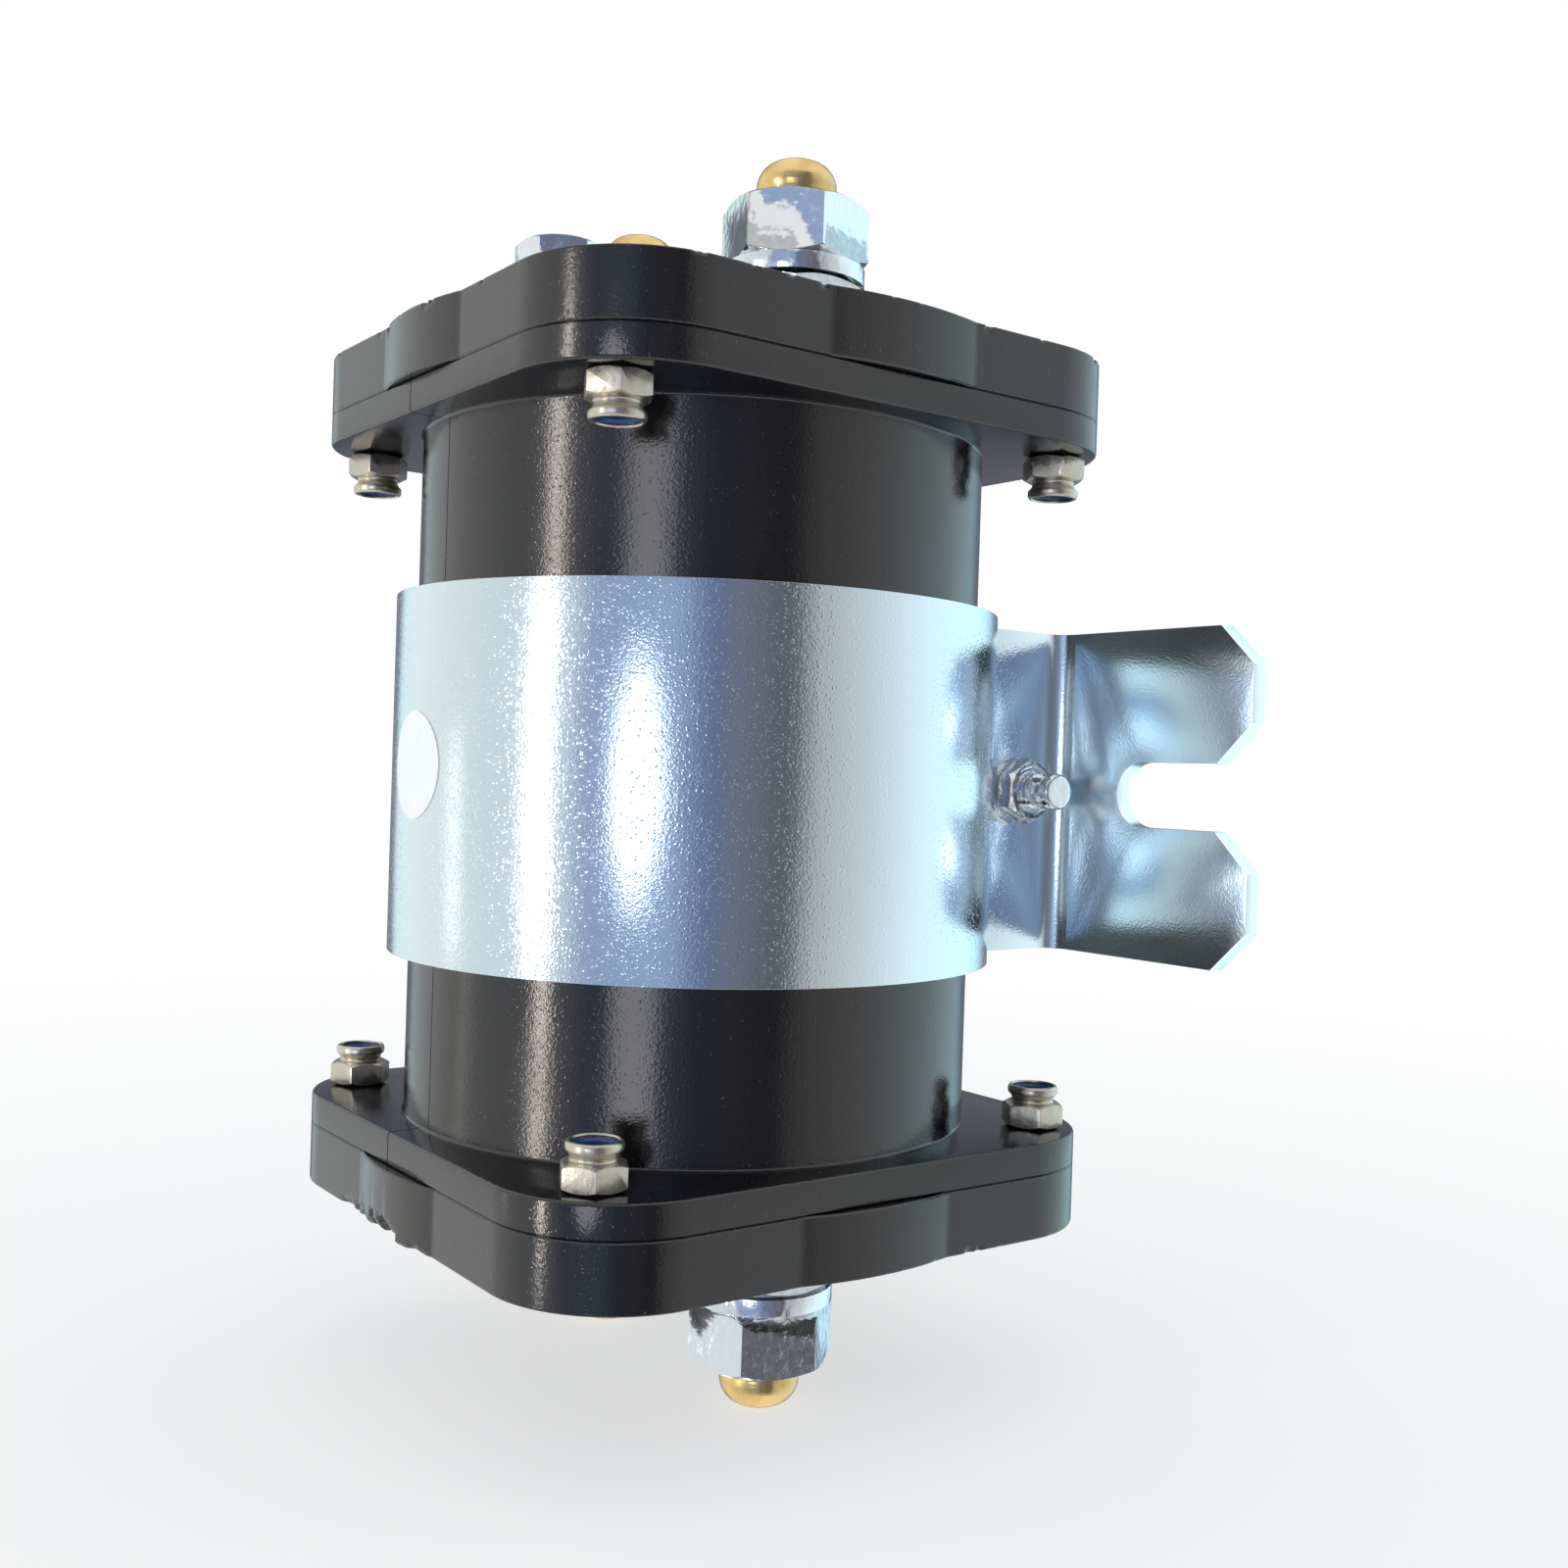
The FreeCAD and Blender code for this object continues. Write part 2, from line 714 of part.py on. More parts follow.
def push_rod():
    low = -rod_end("bottom")
    high = rod_end("top")
    neck = rod_radius - rod_chamfer
    rod = turned([(0, low), (neck, low), (rod_radius, low + rod_chamfer), (rod_radius, high - rod_chamfer),
                  (neck, high), (0, high)])
    for end in ("top", "bottom"):
        groove_top = spring_seat_top(end) - spring_seat_thickness
        groove_low = groove_top - clip_thickness
        groove = ring(rod_radius + cut_over, rod_radius - clip_groove, groove_low, groove_top)
        rod = rod.cut(groove if end == "top" else below(groove))
    return rod


def retaining_clip(end):
    groove_top = spring_seat_top(end) - spring_seat_thickness
    top = groove_top - clip_clearance
    low = groove_top - clip_thickness + clip_clearance
    clip = ring(clip_radius, rod_radius - clip_groove + clip_clearance, low, top)
    corner = point(0, -clip_mouth_width / 2, low)
    return clip.cut(Part.makeBox(clip_radius + cut_over, clip_mouth_width, top - low, corner))


def spring_seat(end):
    top = spring_seat_top(end)
    return ring(spring_seat_radius, rod_radius + fit_gap, top - spring_seat_thickness, top)


def contact_spring(end):
    low = spring_seat_top(end) + fit_gap
    high = low + contact_spring_length
    return coil_spring(contact_spring_radius, contact_spring_wire, contact_spring_turns, low, high)


def bridge_bush(end):
    top = bridge_top(end)
    low = top - bridge_thickness
    return turned([(rod_hole, low - insulator_thickness), (insulator_radius, low - insulator_thickness),
                   (insulator_radius, low), (bush_radius, low), (bush_radius, top), (rod_hole, top)])


def bridge_washer(end):
    top = bridge_top(end)
    return ring(insulator_radius, rod_hole, top, top + insulator_thickness)


def contact_bridge(end):
    top = bridge_top(end)
    low = top - bridge_thickness
    half = bridge_width / 2
    reach = stud_offset + bridge_overlap - half
    bar = Part.makeBox(2 * reach, 2 * half, bridge_thickness, point(-reach, -half, low))
    for x in (-reach, reach):
        bar = bar.fuse(disc(half, low, top, x))
    return bar.removeSplitter().cut(disc(bush_hole, low, top))


def rod_nut(end):
    low = bridge_top(end) + insulator_thickness + fit_gap
    return hex_nut(rod_nut_flats, rod_radius + fit_gap, low, low + rod_nut_height, rod_nut_turn)


def return_spring():
    low = plunger_high - plunger_pocket_depth + fit_gap
    high = spring_stop - fit_gap
    return coil_spring(return_spring_radius, return_spring_wire, return_spring_turns, low, high)


def place_end(shape, end):
    return shape if end == "top" else below(shape)


def export_case():
    export(coil_housing(), "coil_housing")
    export(end_cap(True), "top_cap")
    export(below(end_cap(False)), "bottom_cap")
    for end in ("top", "bottom"):
        places = screw_places()
        export(place_end(group([cap_screw(x, y) for x, y in places]), end), "cap_screws_" + end)
        export(place_end(group([lock_nut(x, y) for x, y in places]), end), "lock_nuts_" + end)
        export(place_end(group([nylon_insert(x, y) for x, y in places]), end), "nylon_inserts_" + end)


def export_strap():
    export(mounting_strap(), "mounting_strap")
    export(clamp_bolt(), "clamp_bolt")
    export(clamp_washer(), "clamp_washer")
    export(clamp_nut(), "clamp_nut")
    export(round_label(), "round_label")


def export_main_terminals():
    for end in ("top", "bottom"):
        for side, x in (("right", stud_offset), ("left", -stud_offset)):
            name = "_" + end + "_" + side
            export(place_end(main_stud(x), end), "main_stud" + name)
            export(place_end(main_lower_nut(x), end), "lower_nut" + name)
            export(place_end(main_outer_nut(x, end), end), "outer_nut" + name)
        pair = (stud_offset, -stud_offset)
        export(place_end(group([main_washer(x) for x in pair]), end), "terminal_washers_" + end)
        export(place_end(group([main_spring_washer(x) for x in pair]), end), "spring_washers_" + end)


def export_coil_terminals():
    pair = (-coil_offset, coil_offset)
    export(group([coil_stud(y) for y in pair]), "coil_studs")
    export(group([coil_washer(y) for y in pair]), "coil_washers")
    export(group([coil_lower_nut(y) for y in pair]), "coil_lower_nuts")
    export(group([coil_spring_washer(y) for y in pair]), "coil_spring_washers")
    export(group([coil_outer_nut(y) for y in pair]), "coil_outer_nuts")
    export(group([coil_lead(y) for y in (-lead_offset, lead_offset)]), "coil_leads")


def export_magnet():
    export(yoke_tube(), "yoke_tube")
    export(top_pole_plate(), "top_pole_plate")
    export(bottom_pole_plate(), "bottom_pole_plate")
    export(bobbin(), "bobbin")
    export(winding(), "winding")
    export(guide_tube(), "guide_tube")
    export(fixed_core(), "fixed_core")
    export(core_bush(), "core_bush")
    export(spacer_ring(), "upper_spacer_ring")
    export(below(spacer_ring()), "lower_spacer_ring")


def export_plunger():
    export(plunger(), "plunger")
    export(push_rod(), "push_rod")
    export(return_spring(), "return_spring")
    ends = ("top", "bottom")
    export(group([place_end(rod_nut(end), end) for end in ends]), "rod_nuts")
    export(group([place_end(spring_seat(end), end) for end in ends]), "spring_seats")
    export(group([place_end(retaining_clip(end), end) for end in ends]), "retaining_clips")
    for end, name in (("top", "upper"), ("bottom", "lower")):
        export(place_end(contact_spring(end), end), name + "_contact_spring")
        export(place_end(contact_bridge(end), end), name + "_contact_bridge")
        export(place_end(bridge_bush(end), end), name + "_bridge_bush")
        export(place_end(bridge_washer(end), end), name + "_bridge_washer")


os.makedirs("parts", exist_ok=True)
export_case()
export_strap()
export_main_terminals()
export_coil_terminals()
export_magnet()
export_plunger()
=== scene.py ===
"""Dresses the power solenoid: a finish for every node, detailed case, strap, terminals and fasteners, and a studio.

Lengths are in metres and angles in degrees, unless a docstring says otherwise. A place that another piece settles is
read from the frame.
"""

import json
import logging
import math
from collections.abc import Callable, Iterator, Sequence
from contextlib import contextmanager
from dataclasses import dataclass
from enum import Enum

import bmesh
import bpy
from bpy.types import Material, Node, NodeSocket, NodeTree, Object
from mathutils import Matrix, Vector, noise


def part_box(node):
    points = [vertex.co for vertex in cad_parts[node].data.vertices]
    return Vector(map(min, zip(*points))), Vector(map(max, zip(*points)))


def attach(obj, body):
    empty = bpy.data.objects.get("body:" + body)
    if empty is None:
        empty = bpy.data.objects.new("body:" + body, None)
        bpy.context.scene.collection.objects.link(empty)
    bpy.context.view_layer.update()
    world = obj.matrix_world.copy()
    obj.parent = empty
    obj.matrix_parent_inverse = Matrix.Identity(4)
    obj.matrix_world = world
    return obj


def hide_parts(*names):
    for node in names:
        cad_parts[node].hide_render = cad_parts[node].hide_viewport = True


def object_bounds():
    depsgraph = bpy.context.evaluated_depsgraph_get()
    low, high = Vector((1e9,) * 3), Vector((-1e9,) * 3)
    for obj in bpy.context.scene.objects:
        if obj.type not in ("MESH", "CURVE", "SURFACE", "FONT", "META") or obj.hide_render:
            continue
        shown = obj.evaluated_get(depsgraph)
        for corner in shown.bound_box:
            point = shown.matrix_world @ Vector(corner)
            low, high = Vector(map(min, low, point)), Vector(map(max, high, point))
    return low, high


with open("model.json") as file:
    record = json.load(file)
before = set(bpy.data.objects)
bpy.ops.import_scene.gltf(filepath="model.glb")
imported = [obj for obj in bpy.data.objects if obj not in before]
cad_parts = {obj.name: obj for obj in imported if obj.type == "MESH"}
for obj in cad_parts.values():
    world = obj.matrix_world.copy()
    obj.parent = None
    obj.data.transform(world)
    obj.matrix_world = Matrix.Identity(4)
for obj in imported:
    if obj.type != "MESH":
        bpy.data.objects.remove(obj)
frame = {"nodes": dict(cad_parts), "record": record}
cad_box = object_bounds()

log = logging.getLogger("solenoid")

ROOT = "root"
ZINC = "zinc_hardware"
MERGE = 1e-6
# Degrees from a hexagon's corner to the middle of its next flat, from which the nuts' turns are counted
HEX_TURN = 30.0
Colour = tuple[float, float, float]
Profile = Sequence[tuple[float, float]]


class Part(Enum):
    """The kinds of mesh element that a pick can select."""

    VERTS = "VERT"
    EDGES = "EDGE"
    FACES = "FACE"


class Join(Enum):
    """The ways of combining a piece with a tool."""

    CUT = "DIFFERENCE"
    ADD = "UNION"
    KEEP = "INTERSECT"


class End(Enum):
    """The two ends of the case, by the sign of their height."""

    TOP = 1
    BOTTOM = -1

    @property
    def word(self) -> str:
        """The word that node names use for this end."""
        return self.name.lower()


def only(obj: Object) -> Object:
    """Selects one object alone and makes it the active one."""
    if bpy.context.object and bpy.context.object.mode != "OBJECT":
        bpy.ops.object.mode_set(mode="OBJECT")
    bpy.ops.object.select_all(action="DESELECT")
    obj.select_set(True)
    bpy.context.view_layer.objects.active = obj
    return obj


def primitive(name: str, add: Callable, **settings: object) -> Object:
    """Adds a primitive with nothing else selected, and names it and its mesh.

    Args:
        name: The object's name.
        add: The operator that adds it.
        **settings: What the operator is told.

    Returns:
        The object.
    """
    bpy.ops.object.select_all(action="DESELECT")
    add(**settings)
    obj = bpy.context.active_object
    obj.name = name
    obj.data.name = name
    return obj


@contextmanager
def editing(obj: Object) -> Iterator[None]:
    """Opens one object in edit mode with nothing selected, and closes it at the end.

    Args:
        obj: The object whose mesh is edited.
    """
    only(obj)
    bpy.ops.object.mode_set(mode="EDIT")
    bpy.ops.mesh.select_all(action="DESELECT")
    yield
    bpy.ops.object.mode_set(mode="OBJECT")


def pick(obj: Object, part: Part, test: Callable) -> None:
    """Selects the elements of an object in edit mode that a test accepts, and no others.

    Args:
        obj: The object in edit mode.
        part: The kind of element.
        test: Says of one element whether it is selected.
    """
    bpy.ops.mesh.select_mode(type=part.value)
    bpy.ops.mesh.select_all(action="DESELECT")
    mesh = bmesh.from_edit_mesh(obj.data)
    items = {Part.VERTS: mesh.verts, Part.EDGES: mesh.edges, Part.FACES: mesh.faces}[part]
    for item in items:
        if test(item):
            item.select_set(True)
    mesh.select_flush_mode()
    bmesh.update_edit_mesh(obj.data)


def round_rim(obj: Object, height: float, width: float, segments: int = 1) -> None:
    """Rounds the edges that lie level at one height.

    Args:
        obj: The object in edit mode.
        height: The edges' height.
        width: Width of the rounding.
        segments: How many faces the rounding has across.
    """
    pick(obj, Part.EDGES, lambda edge: all(abs(v.co.z - height) < MERGE for v in edge.verts))
    bpy.ops.mesh.bevel(offset=width, segments=segments, affect="EDGES")


def cut_upright(obj: Object, shortest: float, cuts: int) -> None:
    """Cuts the upright edges into equal lengths.

    Args:
        obj: The object in edit mode.
        shortest: How far an edge has to rise to be cut.
        cuts: How many cuts each edge gets.
    """
    pick(obj, Part.EDGES, lambda edge: abs(edge.verts[0].co.z - edge.verts[1].co.z) > shortest)
    bpy.ops.mesh.subdivide(number_cuts=cuts)


def tidy(obj: Object) -> Object:
    """Merges doubled vertices, drops loose ones and points the faces outwards."""
    with editing(obj):
        bpy.ops.mesh.select_all(action="SELECT")
        bpy.ops.mesh.remove_doubles(threshold=MERGE)
        bpy.ops.mesh.delete_loose(use_verts=True, use_edges=True, use_faces=False)
        bpy.ops.mesh.select_all(action="SELECT")
        bpy.ops.mesh.normals_make_consistent(inside=False)
    return obj


def settle(obj: Object) -> Object:
    """Moves a piece's place and turn into its mesh, so that its object sits at the origin."""
    only(obj)
    bpy.ops.object.transform_apply(location=True, rotation=True, scale=True)
    return obj


def cylinder(name: str, sides: int, radius: float, low: float, high: float, x: float = 0.0, y: float = 0.0) -> Object:
    """Adds a closed upright cylinder.

    Args:
        name: The object's name.
        sides: How many sides it has.
        radius: Its radius to the corners.
        low: Height of its lower end.
        high: Height of its upper end.
        x: Place of its axis.
        y: Place of its axis.

    Returns:
        The cylinder, with its place in its mesh.
    """
    size = {"vertices": sides, "radius": radius, "depth": high - low}
    place = (x, y, (low + high) / 2)
    return settle(primitive(name, bpy.ops.mesh.primitive_cylinder_add, location=place, end_fill_type="NGON", **size))


def block(name: str, low: Sequence[float], high: Sequence[float]) -> Object:
    """Adds a box between two corners, as a tool for cutting.

    Args:
        name: The object's name.
        low: Its lowest corner.
        high: Its highest corner.

    Returns:
        The box.
    """
    middle = [(a + b) / 2 for a, b in zip(low, high)]
    size = [b - a for a, b in zip(low, high)]
    return settle(primitive(name, bpy.ops.mesh.primitive_cube_add, size=1.0, location=middle, scale=size))


def lathe(name: str, profile: Profile, sides: int = 96) -> Object:
    """Spins a closed outline of radius and height points about the Z axis.

    Args:
        name: The object's name.
        profile: The outline's points in order.
        sides: How many steps the full turn takes.

    Returns:
        The turned piece.
    """
    add = bpy.ops.mesh.primitive_circle_add
    obj = primitive(name, add, vertices=len(profile), radius=1.0, fill_type="NOTHING")
    for vertex, (radius, height) in zip(obj.data.vertices, profile):
        vertex.co = (radius, 0.0, height)
    with editing(obj):
        bpy.ops.mesh.select_all(action="SELECT")
        bpy.ops.mesh.spin(steps=sides, angle=math.tau, center=(0, 0, 0), axis=(0, 0, 1))
    return tidy(obj)


def modify(obj: Object, kind: str, **settings: object) -> Object:
    """Gives a piece a modifier and applies it.

    Args:
        obj: The piece.
        kind: The modifier's type.
        **settings: Values for its properties.

    Returns:
        The piece.
    """
    only(obj)
    modifier = obj.modifiers.new(kind.lower(), kind)
    for key, value in settings.items():
        setattr(modifier, key, value)
    bpy.ops.object.modifier_apply(modifier=modifier.name)
    return obj


def combine(obj: Object, tool: Object, join: Join) -> Object:
    """Adds a tool to a piece, cuts it out or keeps what they share, and removes the tool.

    Args:
        obj: The piece that stays.
        tool: The piece that is used up.
        join: How they are combined.

    Returns:
        The piece.
    """
    modify(obj, "BOOLEAN", operation=join.value, object=tool, solver="EXACT")
    bpy.data.objects.remove(tool)
    return obj


def drill(obj: Object, sides: int, radius: float, low: float, high: float, x: float = 0.0, y: float = 0.0) -> None:
    """Cuts an upright round hole. It takes what cylinder takes."""
    combine(obj, cylinder("drill_tool", sides, radius, low, high, x, y), Join.CUT)


def soften(obj: Object, width: float, segments: int = 2, angle: float = 28.0) -> Object:
    """Rounds a piece's sharp edges and shades the rest smooth.

    Args:
        obj: The piece.
        width: Width of the rounding.
        segments: How many faces the rounding has across.
        angle: Edges that turn by more than this, in degrees, are rounded.

    Returns:
        The piece.
    """
    limit = {"limit_method": "ANGLE", "angle_limit": math.radians(angle), "use_clamp_overlap": True}
    return shade(modify(obj, "BEVEL", width=width, segments=segments, **limit))


def shade(obj: Object, angle: float = 40.0) -> Object:
    """Shades a piece smooth except at edges sharper than an angle in degrees."""
    only(obj)
    bpy.ops.object.shade_smooth_by_angle(angle=math.radians(angle))
    return obj


def copy_to(master: Object, name: str, matrix: Matrix) -> Object:
    """Copies a finished piece, with its own mesh, to another place.

    Args:
        master: The piece that is copied.
        name: The copy's name.
        matrix: Where the copy goes.

    Returns:
        The copy.
    """
    mesh = master.data.copy()
    mesh.name = name
    mesh.transform(matrix)
    obj = bpy.data.objects.new(name, mesh)
    bpy.context.scene.collection.objects.link(obj)
    return obj


def discard(obj: Object) -> None:
    """Removes a master piece once its copies are made."""
    bpy.data.objects.remove(obj)


def placed(x: float, y: float, z: float, turn: float = 0.0, end: End = End.TOP) -> Matrix:
    """The move that sets a piece made at the origin on one end of the case.

    Args:
        x: Place of its axis.
        y: Place of its axis.
        z: Its distance from mid-height.
        turn: Its turn about the upright axis, in degrees, seen from above.
        end: The end it stands on. At the bottom it is turned over.

    Returns:
        The matrix.
    """
    over = Matrix.Rotation(math.pi, 4, "X") if end is End.BOTTOM else Matrix.Identity(4)
    spin = Matrix.Rotation(math.radians(turn), 4, "Z")
    return Matrix.Translation((x, y, z * end.value)) @ spin @ over


class Wiring:
    """Adds nodes to one node tree and links them."""

    def __init__(self, tree: NodeTree) -> None:
        """Keeps the tree.

        Args:
            tree: The tree that gets the nodes.
        """
        self.tree = tree

    def add(self, kind: str, inputs: dict | None = None, **settings: object) -> Node:
        """Adds a node.

        Args:
            kind: The node's type.
            inputs: Values or sockets for its inputs, by name or number.
            **settings: Values for its own properties.

        Returns:
            The node.
        """
        node = self.tree.nodes.new(kind)
        for key, value in settings.items():
            setattr(node, key, value)
        for key, value in (inputs or {}).items():
            if isinstance(value, NodeSocket):
                self.tree.links.new(value, node.inputs[key])
            else:
                node.inputs[key].default_value = value
        return node

    def math(self, operation: str, first: object, second: object = 0.0, clamp: bool = False) -> NodeSocket:
        """Adds a Math node.

        Args:
            operation: What it does.
            first: Its first value or socket.
            second: Its second value or socket.
            clamp: Whether the result is kept from 0 to 1.

        Returns:
            The result's socket.
        """
        return self.add("ShaderNodeMath", {0: first, 1: second}, operation=operation, use_clamp=clamp).outputs[0]

    def ramp(self, value: NodeSocket, start: float, end: float, low: object = 0.0, high: object = 1.0) -> NodeSocket:
        """Maps a value smoothly from one range to another.

        Args:
            value: The value's socket.
            start: Where the range starts.
            end: Where it ends. It may be below start.
            low: What start becomes.
            high: What end becomes.

        Returns:
            The result's socket.
        """
        inputs = {0: value, 1: start, 2: end, 3: low, 4: high}
        return self.add("ShaderNodeMapRange", inputs, interpolation_type="SMOOTHSTEP").outputs[0]

    def mix(self, factor: object, first: object, second: object) -> NodeSocket:
        """Mixes two colours.

        Args:
            factor: How much of the second.
            first: A colour or a socket.
            second: A colour or a socket.

        Returns:
            The result's socket.
        """
        inputs = {0: factor, 6: opaque(first), 7: opaque(second)}
        return self.add("ShaderNodeMix", inputs, data_type="RGBA").outputs[2]

    def place(self, move: Colour = (0, 0, 0), turn: Colour = (0, 0, 0), scale: Colour = (1, 1, 1)) -> NodeSocket:
        """Object coordinates, moved, turned and scaled.

        Args:
            move: The move in metres.
            turn: The turn in degrees.
            scale: The scale on each axis.

        Returns:
            The coordinates' socket.
        """
        source = self.add("ShaderNodeTexCoord").outputs["Object"]
        angles = [math.radians(a) for a in turn]
        return self.add("ShaderNodeMapping", {0: source, 1: move, 2: angles, 3: scale}).outputs[0]

    def bump(self, height: NodeSocket, depth: float, normal: NodeSocket | None = None) -> NodeSocket:
        """Adds a Bump node.

        Args:
            height: The height's socket, from 0 to 1.
            depth: How deep 1 is, in metres.
            normal: A normal that it adds to.

        Returns:
            The normal's socket.
        """
        inputs = {"Height": height, "Distance": depth, "Strength": 1.0}
        if normal:
            inputs["Normal"] = normal
        return self.add("ShaderNodeBump", inputs).outputs[0]


def opaque(colour: object) -> object:
    """A colour of three numbers with full alpha, or a socket as it is."""
    return colour if isinstance(colour, NodeSocket) else (*colour, 1.0)


class Effects:
    """The surface effects that several finishes share, each a node group that is built once."""

    def __init__(self) -> None:
        """Builds the groups."""
        self.strokes = self._strokes()
        self.specks = self._specks()
        self.mottle = self._mottle()
        self.grain = self._grain()

    @staticmethod
    def _group(name: str, numbers: dict[str, float], output: str) -> tuple[Wiring, dict[str, NodeSocket], Node]:
        """Starts a group that has a Vector input, number inputs and one output.

        Args:
            name: The group's name.
            numbers: The number inputs and their usual values.
            output: The output's name.

        Returns:
            The wiring of the group, its inputs by name and its output node.
        """
        tree = bpy.data.node_groups.new(name, "ShaderNodeTree")
        tree.interface.new_socket("Vector", in_out="INPUT", socket_type="NodeSocketVector")
        for key, value in numbers.items():
            socket = tree.interface.new_socket(key, in_out="INPUT", socket_type="NodeSocketFloat")
            socket.default_value = value
        tree.interface.new_socket(output, in_out="OUTPUT", socket_type="NodeSocketFloat")
        wires = Wiring(tree)
        source = wires.add("NodeGroupInput")
        return wires, {s.name: s for s in source.outputs if s.name}, wires.add("NodeGroupOutput")

    @staticmethod
    def _cells(wires: Wiring, inputs: dict, reach: object, share: NodeSocket, gain: float = 1.0) -> NodeSocket:
        """Marks the middles of a share of the cells of a Voronoi texture.

        Args:
            wires: The wiring of the group.
            inputs: Inputs of the texture.
            reach: How far a middle reaches, in cells.
            share: The share of cells that is marked.
            gain: How steeply a mark rises from its edge.

        Returns:
            The socket of the marks.
        """
        cells = wires.add("ShaderNodeTexVoronoi", inputs)
        near = wires.math("SUBTRACT", 1.0, wires.math("DIVIDE", cells.outputs["Distance"], reach), clamp=True)
        core = wires.math("MULTIPLY", near, gain, clamp=True)
        chance = wires.add("ShaderNodeSeparateColor", {0: cells.outputs["Color"]}).outputs[0]
        return wires.math("MULTIPLY", core, wires.math("LESS_THAN", chance, share))

    def _strokes(self) -> NodeTree:
        """Straight scratches along X: the cores of long thin cells, of which a share is scratched."""
        numbers = {"Length": 0.005, "Width": 0.00006, "Share": 0.05, "Bend": 0.0006}
        wires, given, result = self._group("strokes", numbers, "Mask")
        slow = {"Vector": given["Vector"], "Scale": 110.0, "Detail": 0.0}
        drift = wires.add("ShaderNodeTexNoise", slow).outputs["Color"]
        centred = wires.add("ShaderNodeVectorMath", {0: drift, 1: (0.5, 0.5, 0.5)}, operation="SUBTRACT").outputs[0]
        bend = wires.add("ShaderNodeVectorMath", {0: centred, "Scale": given["Bend"]}, operation="SCALE").outputs[0]
        bent = wires.add("ShaderNodeVectorMath", {0: given["Vector"], 1: bend}, operation="ADD").outputs[0]
        along = wires.math("DIVIDE", 0.4, given["Length"])
        across = wires.math("DIVIDE", 0.4, given["Width"])
        cell = wires.add("ShaderNodeCombineXYZ", {0: along, 1: across, 2: across}).outputs[0]
        thin = wires.add("ShaderNodeVectorMath", {0: bent, 1: cell}, operation="MULTIPLY").outputs[0]
        marks = self._cells(wires, {"Vector": thin, "Scale": 1.0}, 0.24, given["Share"], 2.5)
        wires.tree.links.new(marks, result.inputs[0])
        return wires.tree

    def _specks(self) -> NodeTree:
        """Small round specks, in a share of the cells of a Voronoi texture."""
        numbers = {"Spacing": 900.0, "Size": 0.25, "Share": 0.2}
        wires, given, result = self._group("specks", numbers, "Mask")
        inputs = {"Vector": given["Vector"], "Scale": given["Spacing"]}
        marks = self._cells(wires, inputs, given["Size"], given["Share"])
        wires.tree.links.new(marks, result.inputs[0])
        return wires.tree

    def _mottle(self) -> NodeTree:
        """Cloudy patches from 0 to 1."""
        wires, given, result = self._group("mottle", {"Scale": 120.0, "Contrast": 3.0}, "Mask")
        inputs = {"Vector": given["Vector"], "Scale": given["Scale"], "Detail": 4.0}
        cloud = wires.add("ShaderNodeTexNoise", inputs).outputs["Fac"]
        spread = wires.math("MULTIPLY", wires.math("SUBTRACT", cloud, 0.5), given["Contrast"])
        wires.tree.links.new(wires.math("ADD", spread, 0.5, clamp=True), result.inputs[0])
        return wires.tree

    def _grain(self) -> NodeTree:
        """Height of a fine even grain, from 0 to 1."""
        wires, given, result = self._group("grain", {"Scale": 2500.0, "Roughness": 0.5}, "Height")
        inputs = {"Vector": given["Vector"], "Scale": given["Scale"], "Detail": 2.0, "Roughness": given["Roughness"]}
        fine = wires.add("ShaderNodeTexNoise", inputs).outputs["Fac"]
        wires.tree.links.new(fine, result.inputs[0])
        return wires.tree


effects = Effects()


class Surface(Wiring):
    """A material under construction, with its shader and the shared effects at hand."""

    def __init__(self, name: str, **sockets: object) -> None:
        """Makes the material.

        Args:
            name: The material's name.
            **sockets: Even values for the shader's sockets, with underscores for spaces.
        """
        self.material = bpy.data.materials.new(name)
        self.material.use_nodes = True
        super().__init__(self.material.node_tree)
        self.shader = next(n for n in self.tree.nodes if n.type == "BSDF_PRINCIPLED")
        for key, value in sockets.items():
            self.shader.inputs[key.replace("_", " ")].default_value = value

    def effect(self, group: NodeTree, vector: NodeSocket, **numbers: float) -> NodeSocket:
        """Places a shared effect.

        Args:
            group: The effect's node group.
            vector: Its coordinates.
            **numbers: Values for its number inputs.

        Returns:
            Its result's socket.
        """
        node = self.add("ShaderNodeGroup", node_tree=group)
        self.tree.links.new(vector, node.inputs["Vector"])
        for key, value in numbers.items():
            node.inputs[key].default_value = value
        return node.outputs[0]

    def scratches(self, *ways: tuple[Colour, float, float], width: float = 0.00006) -> NodeSocket:
        """Scratches that run several ways.

        Args:
            *ways: The turn in degrees, the usual length in metres and the share of each way.
            width: The widest scratch, in metres.

        Returns:
            The socket of their mask.
        """
        mask = None
        for turn, length, share in ways:
            way = self.effect(effects.strokes, self.place(turn=turn), Length=length, Width=width, Share=share)
            mask = way if mask is None else self.math("MAXIMUM", mask, way)
        return mask

    def feed(self, **sockets: NodeSocket) -> Material:
        """Links sockets to the shader.

        Args:
            **sockets: What feeds each of the shader's sockets, with underscores for spaces.

        Returns:
            The finished material.
        """
        for key, socket in sockets.items():
            self.tree.links.new(socket, self.shader.inputs[key.replace("_", " ")])
        return self.material


